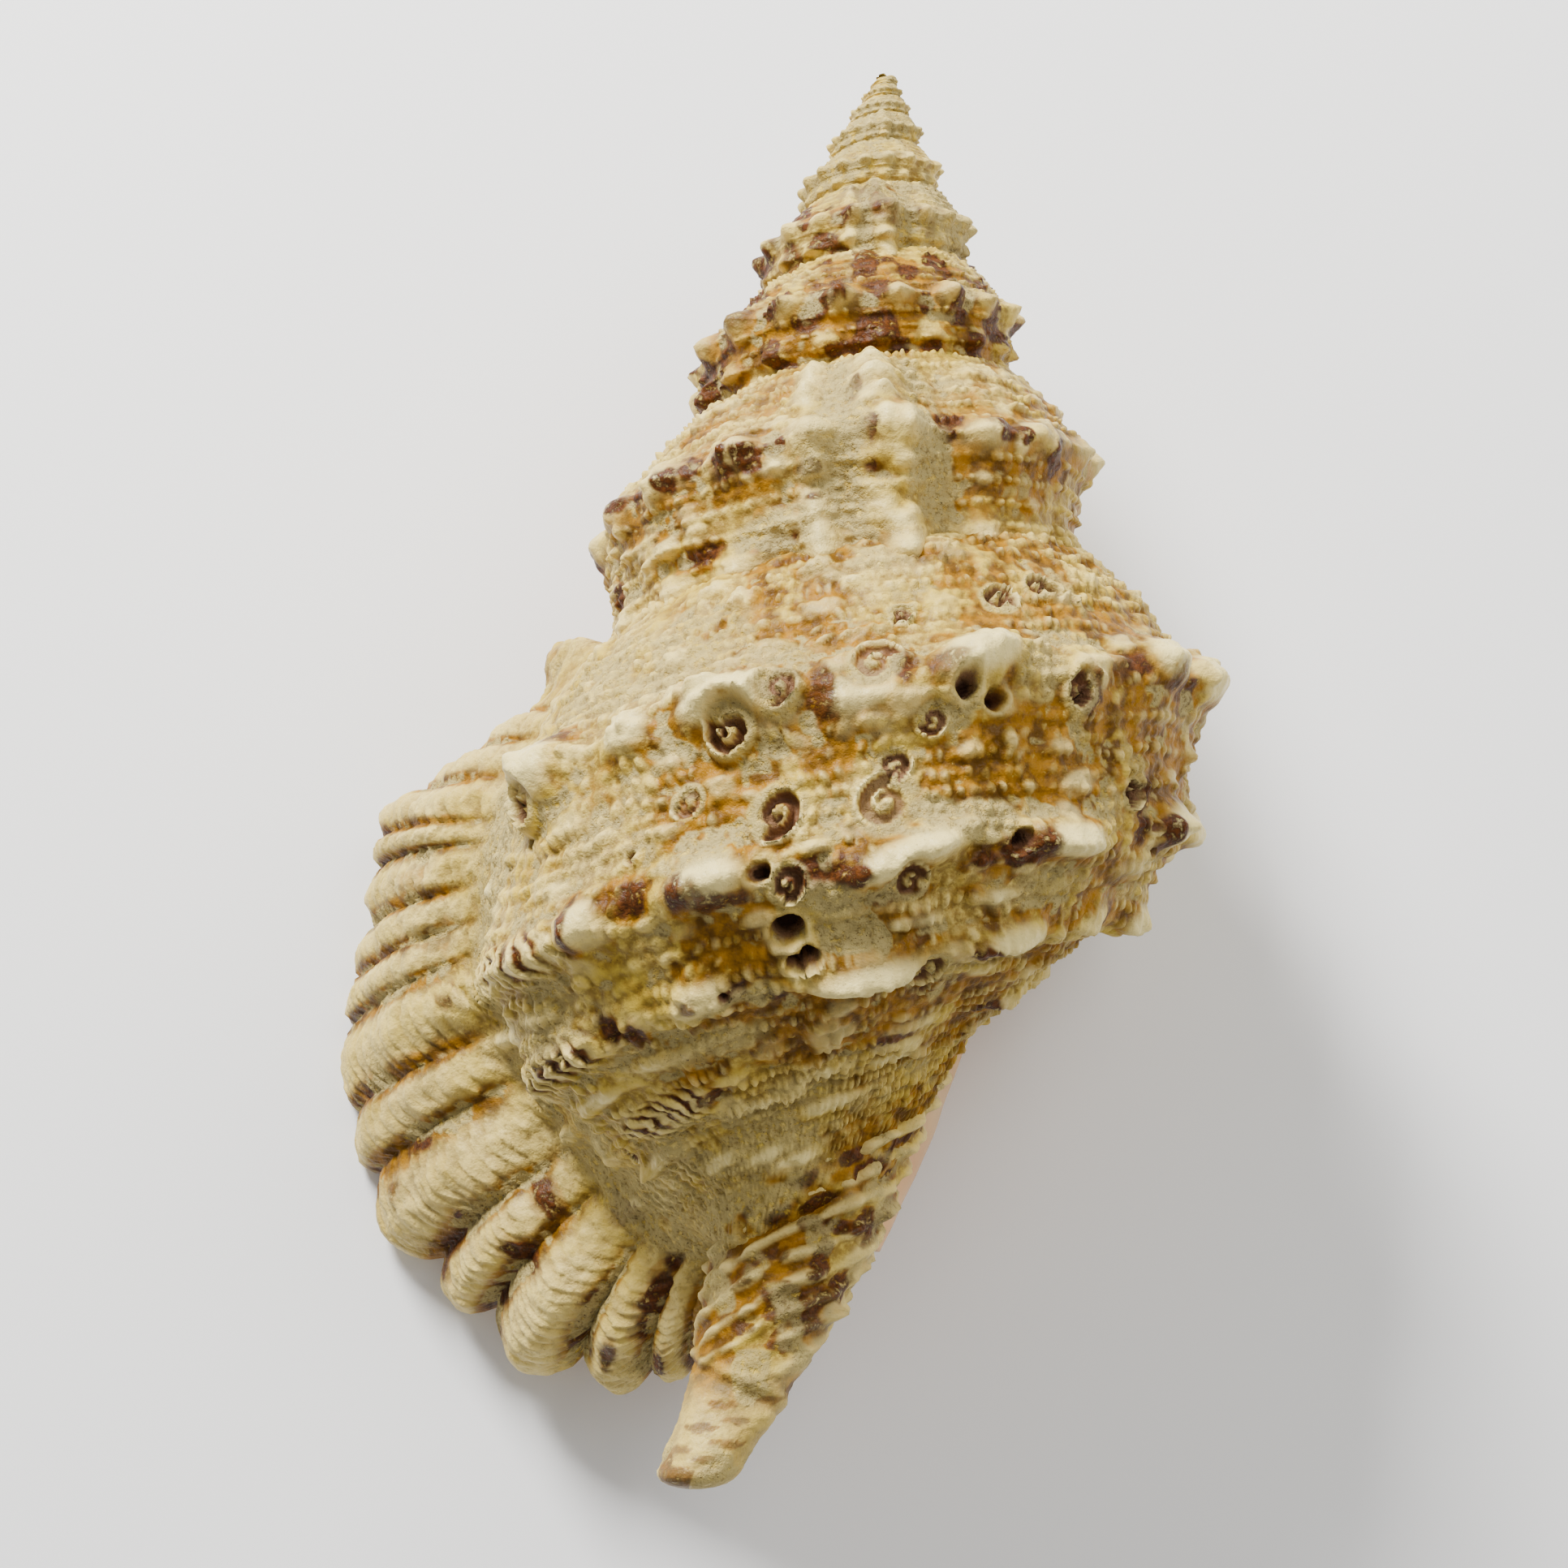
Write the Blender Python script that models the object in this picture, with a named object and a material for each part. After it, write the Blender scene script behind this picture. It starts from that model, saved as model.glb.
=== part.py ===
"""Giant frog shell, one natural solid, lying on its aperture.

The shell is laid out round its own axis in millimetres: W runs down the axis from the apex, R out from it,
and the growth angle turns with the whorls: 0 is the middle of the back of the last whorl, -90 its right side
and about 120 the outer lip. It is turned to the pose in which it rests at the very end.
"""

import bmesh
import bpy
import numpy as np
from mathutils import Matrix

MM = 0.001

# Growth: every full turn makes the whorl this many times larger
GROWTH_PER_TURN = 1.53
BODY_DROP = 2.8
APEX_ANGLE = -3150.0
SOLID_END = -128.0

# Lines along the whorl: radius and way down the axis at the right side of the last whorl, and how much of
# the growth the line still takes from there on, outwards and downwards
LINES = {
    "seat": (25.0, 71.0, 0.9, 1.0),
    "suture": (29.0, 72.0, 0.95, 1.0),
    "ramp high": (35.5, 78.0, 0.65, 1.0),
    "ramp low": (41.5, 86.0, 0.5, 1.0),
    "shoulder": (45.5, 93.0, 0.35, 1.0),
    "waist": (44.3, 103.0, 0.7, 1.0),
    "second row": (42.0, 113.0, 1.1, 1.0),
    "below second": (38.7, 119.0, 1.1, 1.0),
    "third row": (33.2, 124.2, 1.25, 1.0),
    "fourth row": (25.6, 129.6, 1.2, 1.0),
    "base": (18.3, 138.0, 0.9, 0.85),
    "neck": (13.0, 150.0, 0.5, 0.6),
    "canal root": (10.2, 166.0, 0.2, 0.3),
}

# Where each line crosses the valley behind the lip, and where it ends at the lip's edge: X, W, Z
LIP_VALLEY = [
    (-33, 86, -8), (-37, 87, -9), (-43, 94, -9), (-48, 102, -11), (-52, 111, -12), (-54, 120, -14),
    (-54, 132, -17), (-50, 142, -19), (-44, 151, -20), (-38, 160, -20), (-32, 168, -18), (-24, 173, -13),
    (-12, 175, -5),
]
LIP_EDGE = [
    (-31, 86, -22), (-45, 84.5, -28), (-44, 94, -34), (-54.5, 102, -38), (-68.2, 111.5, -39),
    (-72.3, 122, -44), (-75.3, 140, -48), (-74, 153, -47), (-68.6, 166.6, -45), (-58.4, 177.6, -42),
    (-45, 188, -38), (-29, 191, -32),
    (-12, 186, -8),
]
LAST_SPIRAL_ANGLES = (-2.0, 30.0, 62.0)
VALLEY_ANGLE = 104.0
ROLL_ANGLES = (113.0, 122.0)
EDGE_ANGLE = 128.0
LIP_ROLL = 4.5
LIP_FULL_LENGTH = 30.0
WALL = 4.6
LIP_THICKNESS = 5.0

# Neck and siphonal canal: way down the axis, middle X and Z, radius
CANAL = [
    (118, 0, 0, 7), (132, 0, 0, 12), (142, -0.3, -1, 13.8), (150, -1.5, -1, 13.1), (158, -3.2, -1, 11.8),
    (168, -5.5, -1, 10.4), (176, -8.4, 0, 9.5), (184, -10.9, 2, 8), (191, -13.2, 4, 6.8),
    (197, -15.8, 6, 5.9), (203, -18.5, 8, 5.2),
]
CANAL_GROOVE_WIDTH = 3.0
CANAL_GROOVE_START = 150.0
CANAL_GROOVE_DEPTH = 0.62

# The spire leans a little to the left: way down the axis, shift in X
SPIRE_LEAN = [(0, -0.7), (15, -1.3), (35, -1.3), (60, -0.9), (90, 0)]

# Callus shield of the inner lip: aperture side, crest, free margin and root in the pillar, X W Z
SHIELD_INNER = [
    (-16, 78, -28), (-17, 100, -32), (-11, 118, -24), (-8, 138, -17), (-7, 156, -13), (-9, 172, -8),
]
SHIELD_CREST = [(0, 78, -34), (3, 100, -41), (7, 118, -40), (9, 138, -40), (5, 156, -31), (-2, 172, -14)]
SHIELD_MARGIN = [
    (13, 82, -32), (23, 102, -34), (24, 120, -34), (18, 138, -35), (12, 156, -26), (5, 172, -11),
]
SHIELD_ROOT = [(6, 84, -14), (10, 102, -14), (10, 120, -8), (7, 138, -6), (3, 156, -4), (-3, 172, -2)]
SHIELD_RIM = 4.0
APERTURE_ANGLES = (-262.0, -240.0, -168.0, -150.0)

# Rows of nodules: place along the profile, half width, then growth angle and size of each on the last whorl
NODULE_ROWS = [
    (30.8, 3.6, [
        (-94, 0.8), (-70, 1.0), (-54, 0.9), (-35, 0.5), (-15.5, 1.3), (2.5, 0.6), (22, 1.15),
        (39, 0.7), (58, 1.3),
    ]),
    (50.7, 3.0, [(-88, 0.9), (-61.5, 1.0), (-32, 1.2), (-5.5, 1.2), (24, 0.9), (44.5, 0.6)]),
    (63.2, 2.8, [(-98, 0.8), (-71.5, 0.9), (-27.5, 1.0), (0, 1.1), (28, 0.6)]),
]
NODULE_HEIGHT = 4.2
NODULE_REACH = 6.5
NODULE_STEP = 20.0
OLD_NODULE_SIZE = 0.8
KEEL_HEIGHT = 0.9
LAST_WHORL_FROM = (-108.0, -98.0)
NODULES_END = (74.0, 96.0)

# Varices: thick former lips, each with a hollow behind it
VARIX_STEP = 240.0
VARIX_FIRST = -120.0
VARIX_HEIGHT = 4.2
VARIX_WIDTH = 9.0
VARIX_HOLLOW = 0.35
VARICES_END = (20.0, 60.0)

# Ribs that fan out over the lip: the notches between them along the profile, and their height to width
LIP_NOTCHES = [15.0, 21.5, 27.0, 33.4, 36.9, 43.3, 47.5, 51.3, 58.4, 63.4, 73.7, 80.6, 92.9, 102.2, 108.0]
RIB_RISE = 0.32
NOTCH_RETREAT = 3.2
WIDEST_RIB = 9.0

# Holes left by worm tubes: growth angle, place along the profile, radius, depth
WORM_HOLES = [
    (-15.5, 33.3, 3.0, 3.0), (12.0, 58.5, 3.4, 3.2), (-23.0, 50.0, 2.6, 2.6), (-34.0, 16.4, 2.6, 2.6),
    (60.0, 35.5, 2.8, 2.8), (21.5, 33.6, 3.0, 2.0), (14.0, 43.7, 3.2, 1.8), (-33.0, 33.0, 2.4, 2.0),
]

VOXEL = 1.35
TRIANGLES = 9600
REST_ROLL = 5.0
REST_PITCH = -0.9

names = list(LINES)
table = np.array([LINES[name] for name in names])
steps = np.hypot(np.diff(table[:, 0]), np.diff(table[:, 1]))
alongProfile = np.concatenate([[0.0], np.cumsum(steps)])


def smooth(x, low, high):
    """0 below low, 1 above high, with an easy curve between."""
    k = np.clip((x - low) / (high - low), 0.0, 1.0)
    return k * k * (3.0 - 2.0 * k)


def weights(knots, where):
    """Rows that turn control points at the knots into points on a smooth curve through them."""
    knots = np.asarray(knots, float)
    where = np.clip(np.asarray(where, float), knots[0], knots[-1])
    count = len(knots)
    tangent = np.zeros((count, count))
    for i in range(count):
        low, high = max(i - 1, 0), min(i + 1, count - 1)
        tangent[i, high] += 1.0 / (knots[high] - knots[low])
        tangent[i, low] -= 1.0 / (knots[high] - knots[low])
    cell = np.clip(np.searchsorted(knots, where, side="right") - 1, 0, count - 2)
    span = knots[cell + 1] - knots[cell]
    s = (where - knots[cell]) / span
    out = np.zeros((len(where), count))
    row = np.arange(len(where))
    out[row, cell] += 2 * s**3 - 3 * s**2 + 1
    out[row, cell + 1] += -2 * s**3 + 3 * s**2
    out += ((s**3 - 2 * s**2 + s) * span)[:, None] * tangent[cell]
    out += ((s**3 - s**2) * span)[:, None] * tangent[cell + 1]
    return out


def turned(angle, radius, down):
    """Points in shell axes from growth angle, radius and way down the axis."""
    a = np.radians(angle)
    return np.stack([-radius * np.sin(a), -down + 0 * a, radius * np.cos(a)], axis=-1)


def spiralLines(angle):
    """The lines' points at these growth angles, before the lip: angles x lines x 3."""
    size = GROWTH_PER_TURN ** ((angle + 90.0) / 360.0)
    late = np.clip(size - 1.0, 0.0, None)
    early = np.minimum(size, 1.0)
    radius = early[:, None] * table[:, 0] * (1.0 + late[:, None] * table[:, 2])
    down = early[:, None] * table[:, 1] * (1.0 + late[:, None] * table[:, 3])
    share = np.clip((angle + 300.0) / 360.0, 0.0, 1.0)
    down += BODY_DROP * share[:, None] ** 2 * (table[:, 3] > 0.9)
    points = turned(angle[:, None] + 0 * radius, radius, down)
    points[..., [0, 2]] += middleShift(down)
    return points


def middleShift(down):
    """How far the middle of the shell lies off the axis, in X and Z: the spire leans and the neck bends."""
    path = np.array(CANAL, float)
    lean = np.array(SPIRE_LEAN, float)
    x = np.interp(down, path[:, 0], path[:, 1]) + np.interp(down, lean[:, 0], lean[:, 1])
    z = np.interp(down, path[:, 0], path[:, 2])
    return np.stack([x, z], axis=-1)


def lipStations():
    """Control points of every line from the back of the whorl to the lip's edge."""
    valley = np.array(LIP_VALLEY, float) * (1, -1, 1)
    edge = np.array(LIP_EDGE, float) * (1, -1, 1)
    along = edge - valley
    unit = along / np.linalg.norm(along, axis=1, keepdims=True)
    up = np.array([-0.35, 0.0, 1.0])
    outward = up - (unit @ up)[:, None] * unit
    outward /= np.linalg.norm(outward, axis=1, keepdims=True)
    reach = np.minimum(np.linalg.norm(along, axis=1) / LIP_FULL_LENGTH, 1.0)[:, None]
    roll = valley + 0.42 * along + LIP_ROLL * reach * outward
    late = valley + 0.8 * along + 0.75 * LIP_ROLL * reach * outward
    angles = [*LAST_SPIRAL_ANGLES, VALLEY_ANGLE, *ROLL_ANGLES, EDGE_ANGLE]
    first = spiralLines(np.array(LAST_SPIRAL_ANGLES))
    return angles, np.concatenate([first, [valley, roll, late, edge]])


LIP_ANGLES, LIP_POINTS = lipStations()


def allLines(angle):
    """The lines at any growth angle: the spiral first, then the hand-placed lip."""
    angle = np.asarray(angle, float)
    _, blendFrom, blendTo = LAST_SPIRAL_ANGLES
    spiral = spiralLines(np.minimum(angle, blendTo))
    bend = np.einsum("ak,kln->aln", weights(LIP_ANGLES, angle), LIP_POINTS)
    share = smooth(angle, blendFrom, blendTo)[:, None, None]
    return spiral * (1.0 - share) + bend * share


def surface(angle, along):
    """Grid of points on the bare surface: angles x along x 3."""
    return np.einsum("tl,aln->atn", weights(alongProfile, along), allLines(angle))


def lump(distance):
    return np.exp(-(distance**2))


def periodic(angle, step):
    return (angle / step - np.round(angle / step)) * step


def relief(angle, along, radius):
    """Height of the nodules, varices, ribs and holes over the bare surface, in millimetres."""
    a = np.asarray(angle, float)[:, None]
    t = np.asarray(along, float)[None, :]
    size = np.minimum(GROWTH_PER_TURN ** ((a + 90.0) / 360.0), 1.1)
    place = dict(zip(names, alongProfile))
    height = np.zeros((len(angle), len(along)))
    older = lump(periodic(a + 7.0, NODULE_STEP) / 6.0) * OLD_NODULE_SIZE * (1.0 - smooth(a, *LAST_WHORL_FROM))
    for row, width, nodules in NODULE_ROWS:
        across = lump((t - row) / width) * (1.0 - smooth(a, *NODULES_END))
        body = sum(lump((a - at) / (NODULE_REACH * amount**0.5)) * amount for at, amount in nodules)
        height += size * across * (NODULE_HEIGHT * (body + older) + KEEL_HEIGHT)
    varix = lump(periodic(a - VARIX_FIRST, VARIX_STEP) / VARIX_WIDTH)
    behind = lump(periodic(a - VARIX_FIRST + 2.1 * VARIX_WIDTH, VARIX_STEP) / VARIX_WIDTH)
    reach = smooth(t, place["suture"], place["ramp high"]) * (1.0 - smooth(a, *VARICES_END))
    reach = reach * (1.0 - smooth(t, place["fourth row"], place["neck"]))
    height += VARIX_HEIGHT * size * (varix - VARIX_HOLLOW * behind) * reach
    onLip = smooth(a, VALLEY_ANGLE - 5.0, 114.0)
    rib, width = lipRibs(t)
    height += RIB_RISE * width * onLip * (rib - 0.55)
    for at, line, wide, deep in WORM_HOLES:
        away = np.hypot(np.radians(a - at) * radius, t - line) / wide
        height += 0.25 * deep * lump((away - 1.25) / 0.35) - deep * lump(away**1.5)
    deep, mouth, callus, free = APERTURE_ANGLES
    glazed = smooth(a, deep, mouth) * (1.0 - smooth(a, callus, free))
    return height * (1.0 - glazed)


def lipRibs(along):
    """The lip's ribs along the profile: 0 in the notches and 1 on the crests, and each rib's width."""
    notches = np.array(LIP_NOTCHES)
    count = np.interp(along, notches, np.arange(len(notches)))
    widths = np.diff(notches)
    width = np.interp(count, np.arange(len(widths)) + 0.5, widths)
    inside = (along > notches[0]) & (along < notches[-1])
    return np.abs(np.sin(np.pi * count)) ** 0.7 * inside + 0.55 * ~inside, width


def normals(grid):
    """Unit normals of a grid of points, out of the shell."""
    da = np.gradient(grid, axis=0)
    dt = np.gradient(grid, axis=1)
    n = np.cross(da, dt)
    return n / np.maximum(np.linalg.norm(n, axis=-1, keepdims=True), 1e-9)


def raised(angle, along):
    """The surface with its relief and the scallops of the lip's edge, and its normals."""
    grid = surface(angle, along)
    n = normals(grid)
    ahead = np.gradient(grid, axis=0)
    ahead /= np.maximum(np.linalg.norm(ahead, axis=-1, keepdims=True), 1e-9)
    radius = np.hypot(grid[..., 0], grid[..., 2])
    rib, width = lipRibs(np.asarray(along, float))
    lipward = smooth(np.asarray(angle, float), VALLEY_ANGLE + 2.0, EDGE_ANGLE)[:, None]
    retreat = NOTCH_RETREAT * lipward * (1.0 - rib) * (width / WIDEST_RIB)
    lift = relief(angle, along, radius)
    return grid + lift[..., None] * n - retreat[..., None] * ahead, n


def gridFaces(rows, columns, wrap=False):
    """Quads between the points of a grid of rows and columns."""
    faces = []
    for i in range(rows - 1):
        for j in range(columns if wrap else columns - 1):
            k = (j + 1) % columns
            faces.append((i * columns + j, i * columns + k, (i + 1) * columns + k, (i + 1) * columns + j))
    return faces


def closedTube(rings):
    """A closed solid from rings of points, capped at both ends."""
    rings = np.asarray(rings)
    count, around = rings.shape[:2]
    faces = gridFaces(count, around, wrap=True)
    faces.append(tuple(range(around))[::-1])
    faces.append(tuple((count - 1) * around + j for j in range(around)))
    return rings.reshape(-1, 3), faces


def solidWhorls():
    """The spire and the older whorls, filled to the axis."""
    angle = np.concatenate([np.arange(APEX_ANGLE, -1100.0, 10.0), np.arange(-1100.0, SOLID_END + 0.1, 3.0)])
    along = np.linspace(alongProfile[0], alongProfile[-1], 90)
    outside, _ = raised(angle, along)
    lower = outside[:, -1:, :].copy()
    upper = outside[:, :1, :].copy()
    shift = middleShift(-lower[..., 1])
    lower[..., 0], lower[..., 2] = shift[..., 0], shift[..., 1]
    upper[..., 0], upper[..., 2] = 0.0, 0.0
    return closedTube(np.concatenate([outside, lower, upper], axis=1))


def bodyWall():
    """The wall of the last whorl, hollow inside, out to the lip."""
    angle = np.concatenate([np.arange(SOLID_END - 12.0, 96.0, 3.0), np.arange(96.0, EDGE_ANGLE + 0.1, 1.0)])
    along = np.linspace(alongProfile[0], alongProfile[-1], 120)
    outside, n = raised(angle, along)
    thick = WALL + (LIP_THICKNESS - WALL) * smooth(angle, 90.0, 110.0)
    inside = surface(angle, along) - thick[:, None, None] * n
    return closedTube(np.concatenate([outside, inside[:, ::-1]], axis=1))


def neckAndCanal():
    """The pillar's end, the neck and the bent siphonal canal with its groove underneath."""
    path = np.array(CANAL, float)
    down = np.arange(path[0, 0], path[-1, 0] + 0.1, 1.0)
    middle = weights(path[:, 0], down) @ path
    turn = np.radians(np.arange(0, 360, 7.5))
    rings = []
    for w, (_, x, z, radius) in zip(down, middle):
        away = np.arctan2(np.sin(turn - np.pi), np.cos(turn - np.pi)) * radius
        opened = smooth(w, CANAL_GROOVE_START, CANAL_GROOVE_START + 18.0)
        groove = CANAL_GROOVE_DEPTH * radius * lump(1.2 * away / CANAL_GROOVE_WIDTH) * opened
        ring = turned(np.degrees(turn), radius - groove, w + 0 * turn)
        rings.append(ring + (x, 0.0, z))
    end = rings[-1].mean(axis=0)
    for pull, ahead in ((0.8, 1.4), (0.4, 2.2)):
        rings.append(end + (rings[len(down) - 1] - end) * pull + (-0.8, -ahead, 0.3))
    return closedTube(rings)


def shield():
    """The callus of the inner lip: a thick fold over the pillar with a free right margin."""
    curves = (SHIELD_INNER, SHIELD_CREST, SHIELD_MARGIN, SHIELD_ROOT)
    inner, crest, margin, root = (np.array(curve, float) * (1, -1, 1) for curve in curves)
    toRoot = root - margin
    under = margin + SHIELD_RIM * toRoot / np.linalg.norm(toRoot, axis=1, keepdims=True) + (0, 0, 2.0)
    lengthwise = weights(np.arange(6), np.linspace(0, 5, 60))
    across = weights(np.arange(3), np.linspace(0, 2, 20))
    over = np.einsum("bl,lkn->kbn", across, np.array([inner, crest, margin]))
    rings = np.concatenate([over, under[:, None], root[:, None]], axis=1)
    return closedTube(np.einsum("ak,kbn->abn", lengthwise, rings))


def joined(name, pieces):
    """One mesh object holding all pieces, faces pointing out."""
    points, faces, start = [], [], 0
    for piecePoints, pieceFaces in pieces:
        points.append(piecePoints)
        faces.extend(tuple(start + k for k in face) for face in pieceFaces)
        start += len(piecePoints)
    mesh = bpy.data.meshes.new(name)
    mesh.from_pydata((np.concatenate(points) * MM).tolist(), [], faces)
    work = bmesh.new()
    work.from_mesh(mesh)
    bmesh.ops.recalc_face_normals(work, faces=work.faces)
    work.to_mesh(mesh)
    work.free()
    item = bpy.data.objects.new(name, mesh)
    bpy.context.scene.collection.objects.link(item)
    return item


def fused(item):
    """The overlapping pieces made one closed skin, with few enough faces."""
    remesh = item.modifiers.new("one skin", "REMESH")
    remesh.mode = "VOXEL"
    remesh.voxel_size = VOXEL * MM
    graph = bpy.context.evaluated_depsgraph_get()
    mesh = bpy.data.meshes.new_from_object(item.evaluated_get(graph))
    item.modifiers.clear()
    item.data = mesh
    item.data.name = item.name
    mesh.calc_loop_triangles()
    fewer = item.modifiers.new("fewer faces", "DECIMATE")
    fewer.ratio = TRIANGLES / len(mesh.loop_triangles)
    fewer.use_collapse_triangulate = True
    graph.update()
    graph = bpy.context.evaluated_depsgraph_get()
    mesh = bpy.data.meshes.new_from_object(item.evaluated_get(graph))
    item.modifiers.clear()
    item.data = mesh
    return item


def atRest(item):
    """Turns the shell to the pose in which it rests, with its lowest point on the ground."""
    turn = Matrix.Rotation(np.radians(REST_ROLL), 4, "Y") @ Matrix.Rotation(np.radians(REST_PITCH), 4, "X")
    item.data.transform(turn)
    points = np.array([vertex.co for vertex in item.data.vertices])
    low, high = points.min(axis=0), points.max(axis=0)
    middle = (low + high) / 2.0
    item.data.transform(Matrix.Translation((-middle[0], -middle[1], -low[2])))


def shellMaterial():
    material = bpy.data.materials.new("shell lime")
    material.use_nodes = True
    shader = material.node_tree.nodes["Principled BSDF"]
    shader.inputs["Base Color"].default_value = (0.62, 0.47, 0.26, 1.0)
    shader.inputs["Roughness"].default_value = 0.55
    shader.inputs["Metallic"].default_value = 0.0
    return material


def main():
    for thing in list(bpy.data.objects):
        bpy.data.objects.remove(thing, do_unlink=True)
    shell = joined("shell", [solidWhorls(), bodyWall(), neckAndCanal(), shield()])
    fused(shell)
    atRest(shell)
    shell.data.materials.append(shellMaterial())


if __name__ == "__main__":
    main()
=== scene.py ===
import math

import bpy
import numpy as np
from mathutils import Matrix


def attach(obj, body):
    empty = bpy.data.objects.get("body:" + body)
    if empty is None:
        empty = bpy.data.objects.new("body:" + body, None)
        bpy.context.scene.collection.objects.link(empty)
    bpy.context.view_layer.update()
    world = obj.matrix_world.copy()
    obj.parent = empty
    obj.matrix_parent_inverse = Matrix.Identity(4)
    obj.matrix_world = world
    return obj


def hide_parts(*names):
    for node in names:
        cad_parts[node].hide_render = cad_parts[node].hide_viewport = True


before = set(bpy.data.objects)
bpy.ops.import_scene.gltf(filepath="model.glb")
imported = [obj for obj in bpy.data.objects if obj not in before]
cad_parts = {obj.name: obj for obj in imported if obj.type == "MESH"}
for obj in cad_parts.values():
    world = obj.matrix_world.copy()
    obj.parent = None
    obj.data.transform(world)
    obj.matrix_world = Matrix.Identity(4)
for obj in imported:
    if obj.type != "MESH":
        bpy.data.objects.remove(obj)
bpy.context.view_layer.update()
print("frame loaded")

# The shell is laid out round its own axis in millimetres: W runs down the axis from the apex, the growth
# angle turns with the whorls (0 is the middle of the back of the last whorl, 128 the edge of the lip) and
# t runs along the profile of a whorl from the suture to the canal.
mm = 0.001

growth = {"perTurn": 1.53, "drop": 2.8, "apex": -3150.0, "join": -488.0, "mouth": -128.0}

# Lines along the whorl: radius and way down the axis at the right side of the last whorl, and how much of
# the growth the line still takes from there on, outwards and downwards
spiralTable = np.array([
    (25.0, 71.0, 0.9, 1.0),  # seat
    (29.0, 72.0, 0.95, 1.0),  # suture
    (35.5, 78.0, 0.65, 1.0),  # ramp, high
    (41.5, 86.0, 0.5, 1.0),  # ramp, low
    (45.5, 93.0, 0.35, 1.0),  # shoulder
    (44.3, 103.0, 0.7, 1.0),  # waist
    (42.0, 113.0, 1.1, 1.0),  # second row of nodules
    (38.7, 119.0, 1.1, 1.0),  # below it
    (33.2, 124.2, 1.25, 1.0),  # third row
    (25.6, 129.6, 1.2, 1.0),  # fourth row
    (18.3, 138.0, 0.9, 0.85),  # base
    (13.0, 150.0, 0.5, 0.6),  # neck
    (10.2, 166.0, 0.2, 0.3),  # canal root
])

# Where each line crosses the valley behind the lip and where it ends at the lip's edge: X, W, Z
lip = {
    "valleyLine": [
        (-33, 86, -8), (-37, 87, -9), (-43, 94, -9), (-48, 102, -11), (-52, 111, -12), (-54, 120, -14),
        (-54, 132, -17), (-50, 142, -19), (-44, 151, -20), (-38, 160, -20), (-32, 168, -18),
        (-24, 173, -13), (-12, 175, -5),
    ],
    "edgeLine": [
        (-31, 86, -22), (-45, 84.5, -28), (-44, 94, -34), (-59, 102, -38), (-70.4, 109.6, -39),
        (-72.3, 122, -44), (-75.3, 140, -48), (-74, 153, -47), (-68.6, 166.6, -45), (-58.4, 177.6, -42),
        (-45, 188, -38), (-29, 191, -32), (-12, 186, -8),
    ],
    "valley": 104.0, "edge": 128.0, "roll": 4.5, "thick": 5.0, "wall": 4.6,
    "notches": [15.0, 21.5, 27.0, 33.4, 36.9, 43.3, 47.5, 51.3, 58.4, 63.4, 73.7, 80.6, 92.9, 102.2, 108.0],
    "ribRise": 0.32, "notchRetreat": 3.2,
}

canalPath = [
    (118, 0, 0, 7), (132, 0, 0, 12), (142, -0.3, -1, 13.8), (150, -1.5, -1, 13.1), (158, -3.2, -1, 11.8),
    (168, -5.5, -1, 10.4), (176, -8.4, 0, 9.5), (184, -10.9, 2, 8), (191, -13.2, 4, 6.8),
    (197, -15.8, 6, 5.9), (203, -18.5, 8, 5.2),
]
spireLean = [(0, -0.7), (15, -1.3), (35, -1.3), (60, -0.9), (90, 0)]

profileSteps = np.hypot(np.diff(spiralTable[:, 0]), np.diff(spiralTable[:, 1]))
profileMarks = np.concatenate([[0.0], np.cumsum(profileSteps)])


def smooth(x, low, high):
    k = np.clip((x - low) / (high - low), 0.0, 1.0)
    return k * k * (3.0 - 2.0 * k)


def lump(x):
    return np.exp(-x * x)


def weights(knots, where):
    # rows that turn control points at the knots into points on a smooth curve through them
    knots = np.asarray(knots, float)
    where = np.clip(np.asarray(where, float), knots[0], knots[-1])
    count = len(knots)
    tangent = np.zeros((count, count))
    for i in range(count):
        low, high = max(i - 1, 0), min(i + 1, count - 1)
        tangent[i, high] += 1.0 / (knots[high] - knots[low])
        tangent[i, low] -= 1.0 / (knots[high] - knots[low])
    cell = np.clip(np.searchsorted(knots, where, side="right") - 1, 0, count - 2)
    span = knots[cell + 1] - knots[cell]
    s = (where - knots[cell]) / span
    out = np.zeros((len(where), count))
    row = np.arange(len(where))
    out[row, cell] += 2 * s**3 - 3 * s**2 + 1
    out[row, cell + 1] += -2 * s**3 + 3 * s**2
    out += ((s**3 - 2 * s**2 + s) * span)[:, None] * tangent[cell]
    out += ((s**3 - s**2) * span)[:, None] * tangent[cell + 1]
    return out


def turned(angle, radius, down):
    a = np.radians(angle)
    return np.stack([-radius * np.sin(a), -down + 0 * a, radius * np.cos(a)], axis=-1)


def middleShift(down):
    # the spire leans a little and the neck bends away from the axis
    path, lean = np.array(canalPath, float), np.array(spireLean, float)
    x = np.interp(down, path[:, 0], path[:, 1]) + np.interp(down, lean[:, 0], lean[:, 1])
    return np.stack([x, np.interp(down, path[:, 0], path[:, 2])], axis=-1)


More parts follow.
